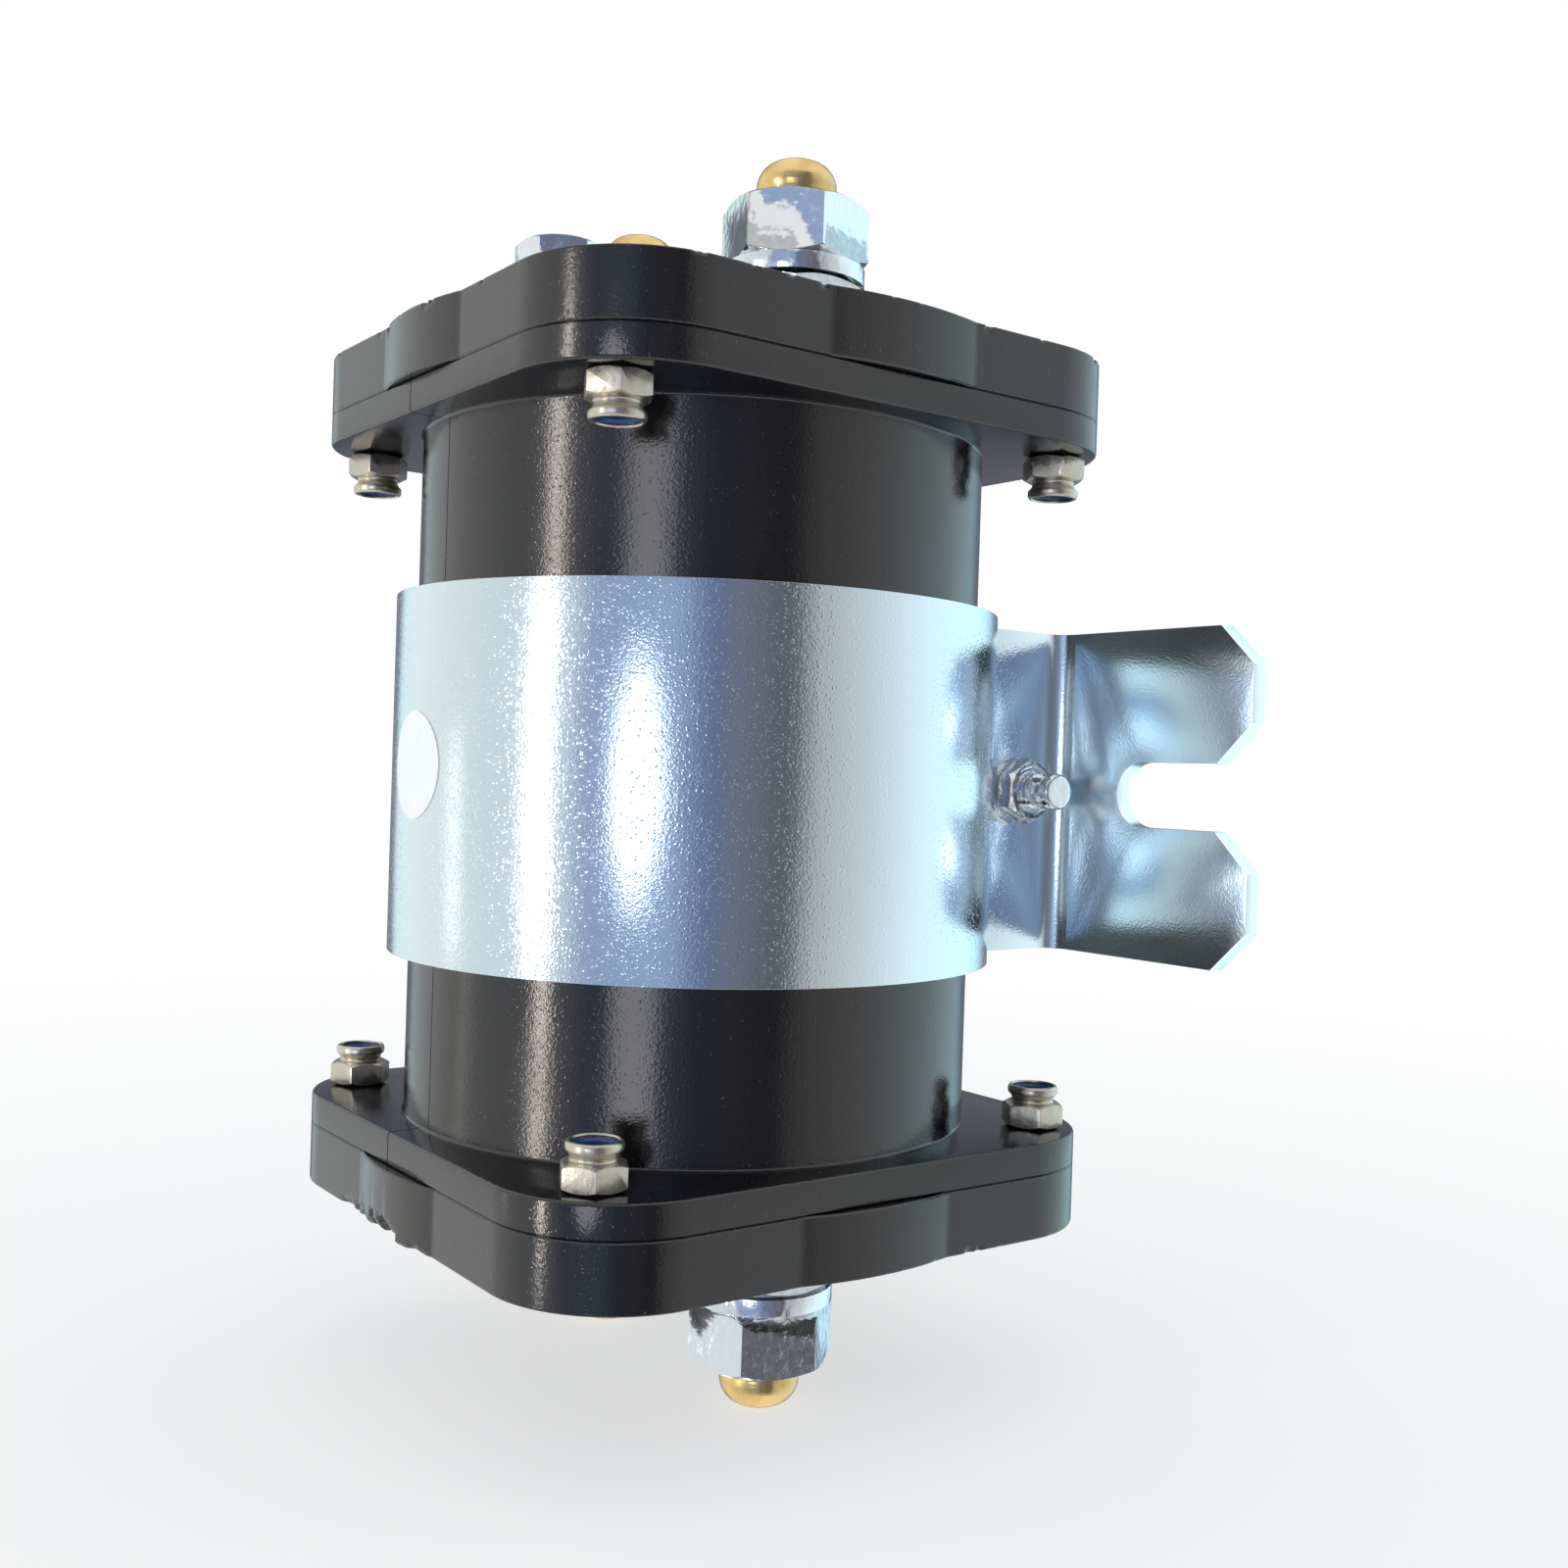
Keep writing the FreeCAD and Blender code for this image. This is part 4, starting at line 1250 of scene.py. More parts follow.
@dataclass
class EndCap:
    """A moulded end cap: rounded square with a lobe on each side and an outer rim chipped where it was trimmed."""

    shop: Workshop
    end: End
    rim_rounding: float = 0.00025
    joint_edge: float = 0.00022
    chip_slope: float = 1.25
    chip_reach: float = 0.004
    chip_least: float = 0.00001
    chip_roughness: float = 0.35
    chip_grain: float = 1600.0
    rows: tuple[float, ...] = (0.0003, 0.00055, 0.0008, 0.0011, 0.0015, 0.002, 0.0027)
    insets: tuple[float, ...] = (0.0003, 0.0003, 0.0004, 0.0006)
    outline_points: int = 720
    stud_place: float = 0.0188
    stud_hole: float = 0.00515
    coil_place: float = 0.0225
    coil_hole: float = 0.00315
    recess_radius: float = 0.0044
    recess_depth: float = 0.0022
    pocket_radius: float = 0.008
    pocket_depth: float = 0.005

    def __post_init__(self) -> None:
        """Reads the cap's two faces and the reach of its lobes from the frame."""
        low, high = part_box(f"{self.end.word}_cap")
        self.seat, self.face = sorted((abs(low.z), abs(high.z)))
        self.footprint = Footprint(lobe_radius=self.shop.axis.y - low.y - MERGE)

    def build(self) -> Object:
        """Draws the outline up to the face, rounds and chips the rim and drills the holes.

        Returns:
            The cap.
        """
        obj = self.footprint.plate(f"{self.end.word}_cap_shell", self.outline_points, self.seat, self.face)
        with editing(obj):
            cut_upright(obj, (self.face - self.seat) / 2, len(self.rows))
        step = (self.face - self.seat) / (len(self.rows) + 1)
        for vertex in obj.data.vertices:
            row = round((self.face - vertex.co.z) / step)
            if 0 < row <= len(self.rows):
                vertex.co.z = self.face - self.rows[row - 1]
        with editing(obj):
            round_rim(obj, self.seat, self.joint_edge)
            round_rim(obj, self.face, self.rim_rounding, 2)
            pick(obj, Part.FACES, lambda f: abs(f.normal.z) > 0.9 and f.calc_center_median().z > self.face - MERGE)
            for width in self.insets:
                bpy.ops.mesh.inset(thickness=width)
        self._chip(obj)
        self._drill(obj)
        if self.end is End.BOTTOM:
            obj.data.transform(MIRRORED)
        obj.data.transform(Matrix.Translation(self.shop.axis))
        shade(tidy(obj), 30)
        return self.shop.fit(obj, "moulded_black", f"{self.end.word}_cap")

    def _chip(self, obj: Object) -> None:
        """Breaks chips out of the outer rim, each down to a slanting face."""
        chips = CHIPPING[self.end]
        for vertex in obj.data.vertices:
            down = self.face - vertex.co.z
            rim = self.footprint.radius(math.atan2(vertex.co.y, vertex.co.x))
            inward = rim - vertex.co.xy.length
            if down > self.chip_reach or inward > self.chip_reach:
                continue
            flat = vertex.co.xy.normalized()
            size = chips.size(Vector((*(flat * rim), 0.0)), 7.0 + self.end.value)
            if size <= self.chip_least:
                continue
            left = 1 - down / (size * self.chip_slope) - inward / size
            if left > 0:
                rough = 1 + self.chip_roughness * noise.noise(vertex.co * self.chip_grain)
                vertex.co.z -= size * self.chip_slope * left / 2 * rough
                vertex.co.xy -= flat * size * left / 2 * rough

    def _drill(self, obj: Object) -> None:
        """Cuts the holes for screws and terminals, and the pocket behind."""
        over = 0.001
        below, above = self.seat - over, self.face + over
        seat = self.face - self.recess_depth
        holes = [(self.stud_hole, below, self.stud_place * side, 0.0) for side in (1, -1)]
        if self.end is End.TOP:
            holes += [(self.coil_hole, below, 0.0, self.coil_place * side) for side in (1, -1)]
        for sx, sy in CORNERS:
            x, y = sx * SCREW_PLACE, sy * SCREW_PLACE
            holes += [(SCREW_HOLE, below, x, y), (self.recess_radius, seat, x, y)]
        for radius, low, x, y in holes:
            drill(obj, 48, radius, low, above, x, y)
        drill(obj, 64, self.pocket_radius, below, self.seat + self.pocket_depth)


@dataclass
class HexNut:
    """A hexagon nut with turned corners and a plain bore chamfered at both ends, standing on the origin."""

    flats: float
    height: float
    bore: float
    pitch: float
    turned_below: bool = True
    turned_above: bool = True
    face_share: float = 0.95
    corner_angle: float = 30.0
    edge: float = 0.00022

    def build(self, name: str) -> Object:
        """Makes the nut.

        Args:
            name: The object's name.

        Returns:
            The nut.
        """
        obj = self.body(name)
        lead = self.pitch * 0.6
        hole = [(0, -MERGE), (self.bore + lead, -MERGE), (self.bore, lead), (self.bore, self.height - lead),
                (self.bore + lead, self.height + MERGE), (0, self.height + MERGE)]
        combine(obj, lathe("bore_tool", hole, 72), Join.CUT)
        return soften(obj, self.edge, 2, 24)

    def body(self, name: str) -> Object:
        """The nut's body without its bore."""
        reach = self.flats / math.sqrt(3)
        face = self.flats / 2 * self.face_share
        drop = (reach - face) * math.tan(math.radians(self.corner_angle))
        over = 0.0002
        obj = cylinder(name, 6, reach, 0.0, self.height)
        wide = reach + over
        cone = [(0, 0)]
        cone += [(face, 0), (wide, drop * (wide - face) / (reach - face))] if self.turned_below else [(wide, 0)]
        top = [(wide, self.height - drop * (wide - face) / (reach - face)), (face, self.height)]
        cone += top if self.turned_above else [(wide, self.height)]
        cone += [(0, self.height)]
        return combine(obj, lathe("cone_tool", cone, 120), Join.KEEP)


@dataclass
class ThreadedRod:
    """The end of a threaded stud, standing on the origin with its tip upwards."""

    radius: float
    length: float
    pitch: float
    depth: float
    tip_rounding: float
    plain_end: float
    sides: int = 72
    rings_per_turn: int = 8

    def build(self, name: str) -> Object:
        """Makes the rod: a rounded tip, then a helical groove down to the origin.

        Args:
            name: The object's name.

        Returns:
            The rod.
        """
        obj = cylinder(name, self.sides, self.radius, 0.0, self.length)
        straight = self.length - self.tip_rounding
        with editing(obj):
            round_rim(obj, self.length, self.tip_rounding, 9)
            cut_upright(obj, straight * 0.9, round(straight / self.pitch * self.rings_per_turn))
            pick(obj, Part.FACES, lambda f: f.normal.z > 0.9 and len(f.verts) > 8)
            bpy.ops.mesh.inset(thickness=(self.radius - self.tip_rounding) * 0.4)
        fade = self.pitch * 0.8
        for vertex in obj.data.vertices:
            rim = vertex.co.xy.length
            if rim < self.radius * 0.98:
                continue
            turn = math.atan2(vertex.co.y, vertex.co.x) / math.tau
            phase = (vertex.co.z / self.pitch - turn) % 1.0
            groove = 1 - abs(2 * phase - 1)
            share = min(1.0, max(0.0, (self.length - self.plain_end - vertex.co.z) / fade))
            vertex.co.xy *= 1 - self.depth / rim * groove * share
        return shade(tidy(obj), 50)


@dataclass
class MainTerminals:
    """The four brass studs with their nuts and washers."""

    shop: Workshop
    place: float = 0.0188
    radius: float = 0.005
    pitch: float = 0.0015
    flats: float = 0.016
    washer_radius: float = 0.010
    spring_radius: float = 0.0088
    gap: float = 0.00005
    outer_turn_top: float = 45.0
    outer_turn_bottom: float = 10.5
    lower_turn: float = 25.0
    stud_turn: float = 20.0
    split_angle: float = 100.0
    head_radius: float = 0.0085
    washer_edge: float = 0.0003

    def build(self) -> None:
        """Makes one of each piece and copies them to the four places."""
        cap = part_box("top_cap")[1].z
        low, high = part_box("outer_nut_top_right")
        lower_low, lower_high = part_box("lower_nut_top_right")
        stud_low, stud_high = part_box("main_stud_top_right")
        bore = self.radius + self.gap
        outer = HexNut(self.flats, high.z - low.z, bore, self.pitch).build("outer_nut_master")
        lower = HexNut(self.flats, lower_high.z - lower_low.z, bore, self.pitch).build("lower_nut_master")
        rod = self._stud(stud_low.z, stud_high.z)
        flat = washer("flat_washer_master", self.washer_radius, bore, lower_low.z - cap, self.washer_edge)
        sprung = low.z - lower_high.z
        spring = washer("spring_washer_master", self.spring_radius, bore, sprung, self.washer_edge, split=True)
        for end, turn in ((End.TOP, self.outer_turn_top), (End.BOTTOM, self.outer_turn_bottom)):
            for side, word in ((1, "right"), (-1, "left")):
                x, y = side * self.place, self.shop.axis.y
                tail = f"{end.word}_{word}"
                pieces = (
                    (rod, f"stud_{tail}", stud_low.z, self.stud_turn * side, "brass", f"main_stud_{tail}"),
                    (lower, f"lower_hex_{tail}", lower_low.z, self.lower_turn - HEX_TURN, ZINC, f"lower_nut_{tail}"),
                    (outer, f"outer_hex_{tail}", low.z, turn - HEX_TURN, ZINC, f"outer_nut_{tail}"),
                    (flat, f"flat_washer_{tail}", cap, 0.0, ZINC, f"terminal_washers_{end.word}"),
                    (spring, f"spring_washer_{tail}", lower_high.z, self.split_angle * end.value, ZINC,
                     f"spring_washers_{end.word}"),
                )
                for master, name, height, angle, slot, node in pieces:
                    self.shop.fit(copy_to(master, name, placed(x, y, height, angle, end)), slot, node)
        for master in (rod, lower, outer, flat, spring):
            discard(master)

    def _stud(self, low: float, high: float) -> Object:
        """One stud from its contact head to its rounded tip.

        Args:
            low: Height of its contact face.
            high: Height of its tip.

        Returns:
            The stud, standing on the origin.
        """
        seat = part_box("coil_housing")[1].z - low
        rod = ThreadedRod(self.radius, high - low, self.pitch, depth=0.00055, tip_rounding=0.0032, plain_end=0.0035)
        rod = rod.build("stud_master")
        edge = 0.0005
        head = lathe("head_tool", [(0, 0), (self.head_radius - edge, 0), (self.head_radius, edge),
                                   (self.head_radius, seat), (0, seat)], 72)
        return shade(combine(rod, head, Join.ADD), 50)


def washer(name: str, outer: float, inner: float, thickness: float, edge: float, split: bool = False) -> Object:
    """A flat washer, or a spring washer with a slanting cut, lying on the origin.

    Args:
        name: The object's name.
        outer: Its outer radius.
        inner: Its bore radius.
        thickness: Its thickness.
        edge: Its edges' rounding.
        split: Whether it is cut.

    Returns:
        The washer.
    """
    obj = lathe(name, [(inner, 0), (outer, 0), (outer, thickness), (inner, thickness)])
    if split:
        gap, slant = outer * 0.06, 25.0
        slit = block("slit_tool", (0, -gap, -thickness), (outer * 1.2, gap, 2 * thickness))
        slit.data.transform(Matrix.Rotation(math.radians(slant), 4, "X"))
        combine(obj, slit, Join.CUT)
    return soften(obj, edge)


@dataclass
class CoilTerminals:
    """The two small terminals on the top cap."""

    shop: Workshop
    place: float = 0.0225
    radius: float = 0.003
    pitch: float = 0.001
    flats: float = 0.010
    washer_radius: float = 0.006
    spring_radius: float = 0.0052
    head_radius: float = 0.0045
    head_height: float = 0.0024
    gap: float = 0.00005
    outer_turn: float = 4.0
    lower_turn: float = 15.0
    split_angle: float = 200.0

    def build(self) -> None:
        """Makes one of each piece and copies them to both places."""
        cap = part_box("top_cap")[1].z
        washer_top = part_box("coil_washers")[1].z
        lower_low, lower_high = (c.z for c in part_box("coil_lower_nuts"))
        low, high = (c.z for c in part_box("coil_outer_nuts"))
        stud_low, stud_high = (c.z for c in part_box("coil_studs"))
        bore = self.radius + self.gap
        rod = ThreadedRod(self.radius, stud_high - stud_low, self.pitch, depth=0.0004, tip_rounding=0.0003,
                          plain_end=0.0003).build("coil_stud_master")
        head = [(0, 0), (self.head_radius, 0), (self.head_radius, self.head_height), (0, self.head_height)]
        rod = shade(combine(rod, lathe("head_tool", head, 64), Join.ADD), 50)
        flat = washer("coil_washer_master", self.washer_radius, bore, washer_top - cap, 0.0003)
        lower = HexNut(self.flats, lower_high - lower_low, bore, self.pitch).build("coil_lower_master")
        spring = washer("coil_spring_master", self.spring_radius, bore, low - lower_high, 0.00025, split=True)
        outer = HexNut(self.flats, high - low, bore, self.pitch).build("coil_outer_master")
        masters = (
            (rod, "coil_stud", stud_low, 0.0, "brass", "coil_studs"),
            (flat, "coil_washer", cap, 0.0, ZINC, "coil_washers"),
            (lower, "coil_lower_hex", lower_low, self.lower_turn - HEX_TURN, ZINC, "coil_lower_nuts"),
            (spring, "coil_spring_washer", lower_high, self.split_angle, ZINC, "coil_spring_washers"),
            (outer, "coil_outer_hex", low, self.outer_turn - HEX_TURN, ZINC, "coil_outer_nuts"),
        )
        for master, name, height, angle, slot, node in masters:
            for side, word in ((-1, "front"), (1, "rear")):
                move = placed(0.0, self.shop.axis.y + side * self.place, height, angle)
                self.shop.fit(copy_to(master, f"{name}_{word}", move), slot, node)
            discard(master)


@dataclass
class CornerScrews:
    """The four screws at each end with their insert lock nuts."""

    shop: Workshop
    nut_flats: float = 0.007
    hex_height: float = 0.0033
    nut_height: float = 0.0054
    collar_radius: float = 0.0032
    waist_radius: float = 0.00265
    wall: float = 0.0007
    screw_radius: float = 0.002
    pitch: float = 0.0007
    head_radius: float = 0.0039
    insert_low: float = 0.0004
    insert_height: float = 0.0010
    turns: tuple[float, ...] = (30.0, 41.0, 22.0, 34.0)
    gap: float = 0.00005
    collar_flare: Profile = ((0.0, 0.00015), (0.0, 0.00032), (0.00006, 0.0005), (0.00018, 0.00075))

    def build(self) -> None:
        """Makes one screw, nut and insert and copies them to the eight corners."""
        under = -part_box("lock_nuts_bottom")[0].z
        low, high = (c.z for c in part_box("cap_screws_top"))
        nut, insert, screw = self._nut(), self._insert(), self._screw(high - low)
        for end in End:
            for index, (sx, sy) in enumerate(CORNERS):
                x, y = sx * SCREW_PLACE, self.shop.axis.y + sy * SCREW_PLACE
                tail = f"{end.word}_{index + 1}"
                over = End.BOTTOM if end is End.TOP else End.TOP
                turned = placed(0, 0, 0, self.turns[index] - HEX_TURN, over)
                nut_move = Matrix.Translation((x, y, end.value * under)) @ turned
                pieces = (
                    (nut, "lock_nut", nut_move, "zinc_lock_nut", "lock_nuts"),
                    (insert, "nut_insert", nut_move, "blue_nylon", "nylon_inserts"),
                    (screw, "cap_screw", placed(x, y, low, 20 + 35 * index, end), ZINC, "cap_screws"),
                )
                for master, name, move, slot, node in pieces:
                    self.shop.fit(copy_to(master, f"{name}_{tail}", move), slot, f"{node}_{end.word}")
        for master in (nut, insert, screw):
            discard(master)

    def _nut(self) -> Object:
        """A lock nut that bears on the origin with its rolled collar upwards."""
        bore = self.screw_radius + self.gap
        body = HexNut(self.nut_flats, self.hex_height, bore, self.pitch, face_share=0.87, edge=0.0001)
        obj = body.body("lock_nut_master")
        low, tip, lip, r, neck = self.hex_height, self.nut_height, 0.0004, self.collar_radius, self.waist_radius
        collar = lathe("collar_tool", [
            (0, low - 0.0005), (neck + 0.0001, low - 0.0005), (neck + 0.0001, low),
            *((neck + out, low + up) for out, up in self.collar_flare),
            (r - 0.00003, low + 0.00108), (r, low + 0.00125), (r, tip - lip), (r - 0.0001, tip - 0.00018),
            (r - 0.00022, tip - 0.00005), (r - lip, tip), (0, tip)], 96)
        combine(obj, collar, Join.ADD)
        wide = bore + self.wall
        shelf = tip - self.insert_low - self.insert_height
        hollow = [(0, -MERGE), (bore + 0.0003, -MERGE), (bore, 0.0003), (bore, shelf), (wide, shelf),
                  (wide, tip - 0.00035), (wide - 0.0001, tip - 0.0002), (wide, tip - 0.00005), (wide + 0.00003, tip),
                  (0, tip)]
        combine(obj, lathe("hollow_tool", hollow, 72), Join.CUT)
        return soften(obj, 0.00009, 2, 32)

    def _insert(self) -> Object:
        """The nylon ring under the nut's rolled lip."""
        bore = self.screw_radius + self.gap
        wide = bore + self.wall - 0.00002
        high = self.nut_height - self.insert_low
        low = high - self.insert_height
        profile = [(bore, low), (wide, low), (wide, high), (bore + 0.0003, high), (bore, high - 0.0003)]
        return shade(lathe("insert_master", profile, 64), 30)

    def _screw(self, length: float) -> Object:
        """A pan head screw with a cross recess, standing on its tip."""
        head_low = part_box("top_cap")[1].z - 0.0022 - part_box("cap_screws_top")[0].z
        length_below = head_low + 0.0005
        obj = ThreadedRod(self.screw_radius, length_below, self.pitch, depth=0.0003, tip_rounding=0.0003,
                          plain_end=0.0003, sides=32, rings_per_turn=6).build("screw_master")
        obj.data.transform(Matrix.Rotation(math.pi, 4, "X"))
        obj.data.transform(Matrix.Translation((0, 0, length_below)))
        r = self.head_radius
        head = lathe("head_tool", [
            (0, head_low), (r - 0.0002, head_low), (r, head_low + 0.0003), (r, head_low + 0.0014),
            (r * 0.93, length - 0.0006), (r * 0.78, length - 0.0002), (r * 0.55, length), (0, length)], 72)
        combine(obj, head, Join.ADD)
        arm, slit, deep = r * 0.62, 0.0005, 0.0014
        for reach, across in ((arm, slit), (slit, arm)):
            cross = block("cross_tool", (-reach, -across, length - deep), (reach, across, length + 0.001))
            with editing(cross):
                pick(cross, Part.FACES, lambda f: f.normal.z < -0.9)
                bpy.ops.transform.resize(value=(0.55, 0.55, 1.0))
            combine(obj, cross, Join.CUT)
        return soften(obj, 0.00008, 2, 35)


@dataclass
class ClampSet:
    """The bolt, washer and nut that draw the strap's legs together."""

    shop: Workshop
    radius: float = 0.0025
    pitch: float = 0.0008
    flats: float = 0.008
    head_height: float = 0.0035
    washer_radius: float = 0.0044
    split_angle: float = 140.0
    gap: float = 0.00005

    def build(self) -> None:
        """Makes the three pieces on the Z axis and lays them along X."""
        low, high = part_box("clamp_bolt")
        washer_low, washer_high = (c.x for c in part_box("clamp_washer"))
        nut_low, nut_high = (c.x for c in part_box("clamp_nut"))
        middle = (low.y + high.y) / 2
        bore = self.radius + self.gap
        bolt = ThreadedRod(self.radius, high.x - low.x, self.pitch, depth=0.0003, tip_rounding=0.0005, plain_end=0.0004,
                           sides=48, rings_per_turn=6).build("clamp_bolt_master")
        head = HexNut(self.flats, self.head_height, bore, self.pitch, turned_above=False).body("bolt_head")
        bolt = shade(combine(bolt, head, Join.ADD), 35)
        ring = washer("clamp_washer_master", self.washer_radius, bore, washer_high - washer_low, 0.0002, split=True)
        nut = HexNut(self.flats, nut_high - nut_low, bore, self.pitch, edge=0.00015).build("clamp_nut_master")
        pieces = (
            (bolt, "clamp_screw", low.x, 0.0, "clamp_bolt"),
            (ring, "clamp_spring_washer", washer_low, self.split_angle, "clamp_washer"),
            (nut, "clamp_hex", nut_low, 0.0, "clamp_nut"),
        )
        for master, name, start, turn, node in pieces:
            turned = Matrix.Rotation(math.radians(turn - HEX_TURN), 4, "Z")
            move = Matrix.Translation((start, middle, 0)) @ Matrix.Rotation(math.pi / 2, 4, "Y") @ turned
            self.shop.fit(copy_to(master, name, move), ZINC, node)
            discard(master)


def toward(azimuth: float, elevation: float = 0.0) -> Vector:
    """The way that an azimuth and an elevation point, in degrees."""
    around, above = math.radians(azimuth), math.radians(elevation)
    return Vector((math.cos(around) * math.cos(above), math.sin(around) * math.cos(above), math.sin(above)))


@dataclass(frozen=True)
class StudioSide:
    """The light that comes level from one side of the studio."""

    azimuth: float
    colour: Colour


SIDES = (
    StudioSide(-178, (0.82, 1.02, 1.08)),
    StudioSide(-160, (1.00, 1.06, 1.06)),
    StudioSide(-145, (0.98, 1.00, 0.96)),
    StudioSide(-112, (0.80, 0.87, 0.90)),
    StudioSide(-80, (0.72, 0.76, 0.84)),
    StudioSide(-73, (0.34, 0.42, 0.60)),
    StudioSide(-54, (0.34, 0.44, 0.66)),
    StudioSide(-40, (0.36, 0.46, 0.66)),
    StudioSide(-30, (0.15, 0.20, 0.34)),
    StudioSide(-17, (0.20, 0.20, 0.25)),
    StudioSide(2, (0.11, 0.11, 0.13)),
    StudioSide(10, (0.52, 0.53, 0.54)),
    StudioSide(38, (0.80, 0.86, 0.89)),
    StudioSide(60, (0.98, 1.18, 1.26)),
    StudioSide(90, (1.00, 1.35, 1.45)),
    StudioSide(106, (0.75, 1.15, 1.35)),
    StudioSide(118, (0.22, 0.24, 0.28)),
    StudioSide(164, (0.22, 0.24, 0.28)),
)


@dataclass(frozen=True)
class Lamp:
    """A flat lamp that faces the case's axis.

    Attributes:
        name: Its name.
        azimuth: Where it stands, in degrees from the X axis.
        distance: How far it stands from the axis, in metres.
        width: Its width in metres.
        low: Height of its lower end.
        high: Height of its upper end.
        level: How bright it looks, 1 for white.
        colour: Its light's colour.
        shape: RECTANGLE or ELLIPSE.
    """

    name: str
    azimuth: float
    distance: float
    width: float
    low: float
    high: float
    level: float
    colour: Colour
    shape: str

    @property
    def area(self) -> float:
        """Its area in square metres."""
        share = math.pi / 4 if self.shape == "ELLIPSE" else 1.0
        return self.width * (self.high - self.low) * share


LAMPS = (
    Lamp("strip_left", -90, 0.70, 0.040, -0.255, 0.255, 16.0, (1.0, 0.96, 0.93), "RECTANGLE"),
    Lamp("box_front", -53.5, 1.40, 0.430, -0.330, 0.300, 2.6, (0.92, 0.96, 1.0), "ELLIPSE"),
    Lamp("strip_low", -128.5, 0.70, 0.060, -0.20, 0.03, 0.8, (1.0, 1.0, 0.97), "RECTANGLE"),
)


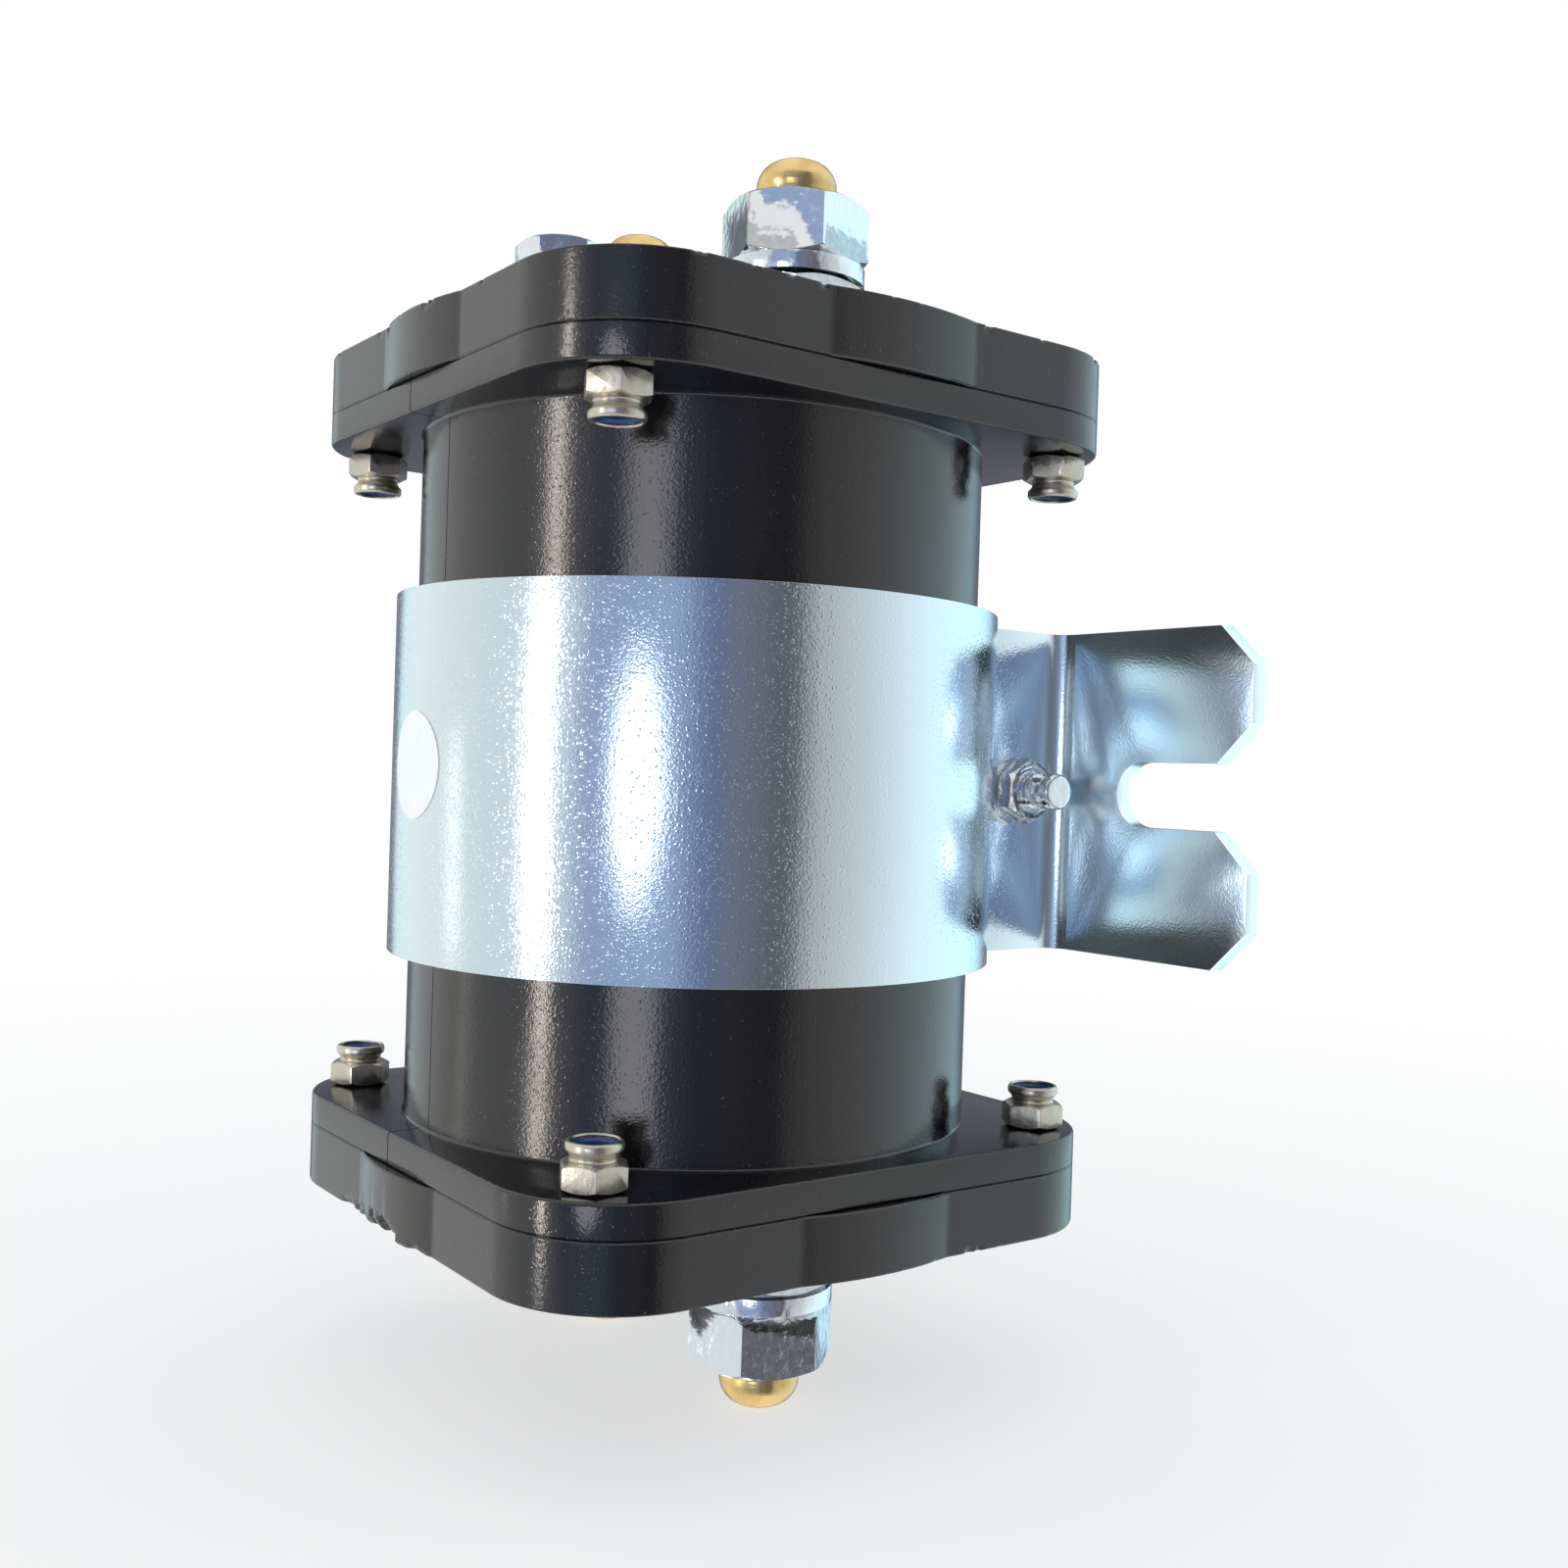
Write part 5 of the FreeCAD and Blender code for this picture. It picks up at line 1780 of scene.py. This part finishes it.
@dataclass
class Studio:
    """The camera, the floor, the wall of light round the object, the lamps and the white beyond."""

    shop: Workshop
    distance: float = 0.2166
    azimuth: float = -33.2
    elevation: float = 0.424
    roll: float = 1.82
    aim_right: float = 3.161
    aim_up: float = -0.014
    lens: float = 36.97
    floor_gap: float = 0.0001
    floor_size: float = 60.0
    near: float = 0.06
    far: float = 0.45
    near_white: float = 0.62
    wall_radius: float = 1.5

    def build(self) -> None:
        """Makes everything that isn't part of the object."""
        self._camera()
        self._floor()
        self._wall()
        self._world()
        for lamp in LAMPS:
            self._lamp(lamp)

    def _camera(self) -> None:
        """Sets the camera where the photograph was taken from, rolled and aimed as it was."""
        out = toward(self.azimuth, self.elevation)
        ahead = -out
        right = ahead.cross(Vector((0, 0, 1))).normalized()
        up = right.cross(ahead)
        aim = ahead + math.tan(math.radians(self.aim_right)) * right + math.tan(math.radians(self.aim_up)) * up
        aim.normalize()
        right = aim.cross(up).normalized()
        up = right.cross(aim)
        roll = math.radians(self.roll)
        x_axis = math.cos(roll) * right + math.sin(roll) * up
        y_axis = math.cos(roll) * up - math.sin(roll) * right
        data = bpy.data.cameras.new("camera")
        data.lens = self.lens
        data.sensor_width = 36.0
        data.clip_start = 0.005
        data.clip_end = 100.0
        camera = bpy.data.objects.new("camera", data)
        turn = Matrix((x_axis, y_axis, -aim)).transposed().to_4x4()
        camera.matrix_world = Matrix.Translation(self.shop.axis + out * self.distance) @ turn
        bpy.context.scene.collection.objects.link(camera)
        bpy.context.scene.camera = camera

    def _floor(self) -> None:
        """A plain pale floor at the lower terminals' tips, white further off, which metal doesn't mirror."""
        place = (0, 0, cad_box[0].z - self.floor_gap)
        floor = settle(primitive("floor", bpy.ops.mesh.primitive_plane_add, size=self.floor_size, location=place))
        floor.visible_glossy = False
        floor.visible_shadow = False
        surface = Surface("floor", Roughness=0.9, Specular_IOR_Level=0.1)
        surface.shader.inputs["Base Color"].default_value = (0.93, 0.93, 0.93, 1)
        centred = surface.place(move=-self.shop.axis)
        away = surface.add("ShaderNodeVectorMath", {0: centred}, operation="LENGTH").outputs["Value"]
        share = surface.ramp(away, self.near, self.far, self.near_white, 1.0)
        seen = surface.add("ShaderNodeLightPath")
        mirrored = surface.math("MAXIMUM", seen.outputs["Is Glossy Ray"], seen.outputs["Is Transmission Ray"])
        direct = surface.math("MAXIMUM", seen.outputs["Is Camera Ray"], mirrored)
        glow = surface.add("ShaderNodeEmission", {"Color": (1, 1, 1, 1), "Strength": 1.0}).outputs[0]
        white = surface.math("MULTIPLY", share, direct)
        blend = surface.add("ShaderNodeMixShader", {0: white, 1: surface.shader.outputs[0], 2: glow})
        output = next(n for n in surface.tree.nodes if n.type == "OUTPUT_MATERIAL")
        surface.tree.links.new(blend.outputs[0], output.inputs["Surface"])
        floor.data.materials.append(surface.material)

    def _wall(self) -> None:
        """A round wall of light, open above and below. It changes from side to side, and the camera doesn't see it."""
        size = {"vertices": 128, "radius": self.wall_radius, "depth": 2 * self.wall_radius}
        add = bpy.ops.mesh.primitive_cylinder_add
        wall = primitive("studio_wall", add, location=self.shop.axis, end_fill_type="NOTHING", **size)
        wall.visible_camera = False
        wall.visible_transmission = False
        wall.visible_shadow = False
        material = bpy.data.materials.new("studio_wall")
        material.use_nodes = True
        material.node_tree.nodes.clear()
        wires = Wiring(material.node_tree)
        x, y, _ = wires.add("ShaderNodeSeparateXYZ", {0: wires.place()}).outputs
        angle = wires.math("ARCTAN2", y, x)
        share = wires.math("ADD", wires.math("DIVIDE", angle, math.tau), 0.5)
        ramp = wires.add("ShaderNodeValToRGB", {0: share})
        ramp.color_ramp.interpolation = "LINEAR"
        stops = ramp.color_ramp.elements
        while len(stops) > 1:
            stops.remove(stops[-1])
        top = max(max(side.colour) for side in SIDES)
        for index, side in enumerate(SIDES):
            place = (side.azimuth + 180) / 360
            stop = stops[0] if index == 0 else stops.new(place)
            stop.position = place
            stop.color = (*(c / top for c in side.colour), 1.0)
        light = wires.add("ShaderNodeEmission", {"Color": ramp.outputs[0], "Strength": top})
        wires.add("ShaderNodeOutputMaterial", {"Surface": light.outputs[0]})
        wall.data.materials.append(material)

    @staticmethod
    def _world() -> None:
        """Plain white all round."""
        world = bpy.data.worlds.new("studio")
        bpy.context.scene.world = world
        world.use_nodes = True
        background = next(n for n in world.node_tree.nodes if n.type == "BACKGROUND")
        background.inputs["Color"].default_value = (1, 1, 1, 1)
        background.inputs["Strength"].default_value = 1.0

    def _lamp(self, lamp: Lamp) -> None:
        """Places one lamp.

        Args:
            lamp: What it is and where.
        """
        data = bpy.data.lights.new(lamp.name, "AREA")
        data.shape = lamp.shape
        data.size = lamp.width
        data.size_y = lamp.high - lamp.low
        data.energy = lamp.level * math.pi * lamp.area
        data.color = lamp.colour
        out = toward(lamp.azimuth)
        side = Vector((0, 0, 1)).cross(out)
        obj = bpy.data.objects.new(lamp.name, data)
        turn = Matrix((side, Vector((0, 0, 1)), out)).transposed().to_4x4()
        middle = Vector((0, 0, (lamp.low + lamp.high) / 2))
        obj.matrix_world = Matrix.Translation(self.shop.axis + out * lamp.distance + middle) @ turn
        obj.visible_camera = False
        bpy.context.scene.collection.objects.link(obj)


def main() -> None:
    """Builds every sub-assembly in order, then the studio."""
    logging.basicConfig(level=logging.INFO, format="%(name)s: %(message)s")
    bpy.context.scene.view_settings.view_transform = "Standard"
    shop = Workshop()
    shop.dress_nodes()
    CaseBody(shop).build()
    for end in End:
        EndCap(shop, end).build()
    Strap(shop).build()
    MainTerminals(shop).build()
    CoilTerminals(shop).build()
    CornerScrews(shop).build()
    ClampSet(shop).build()
    Studio(shop).build()


if __name__ == "__main__":
    main()
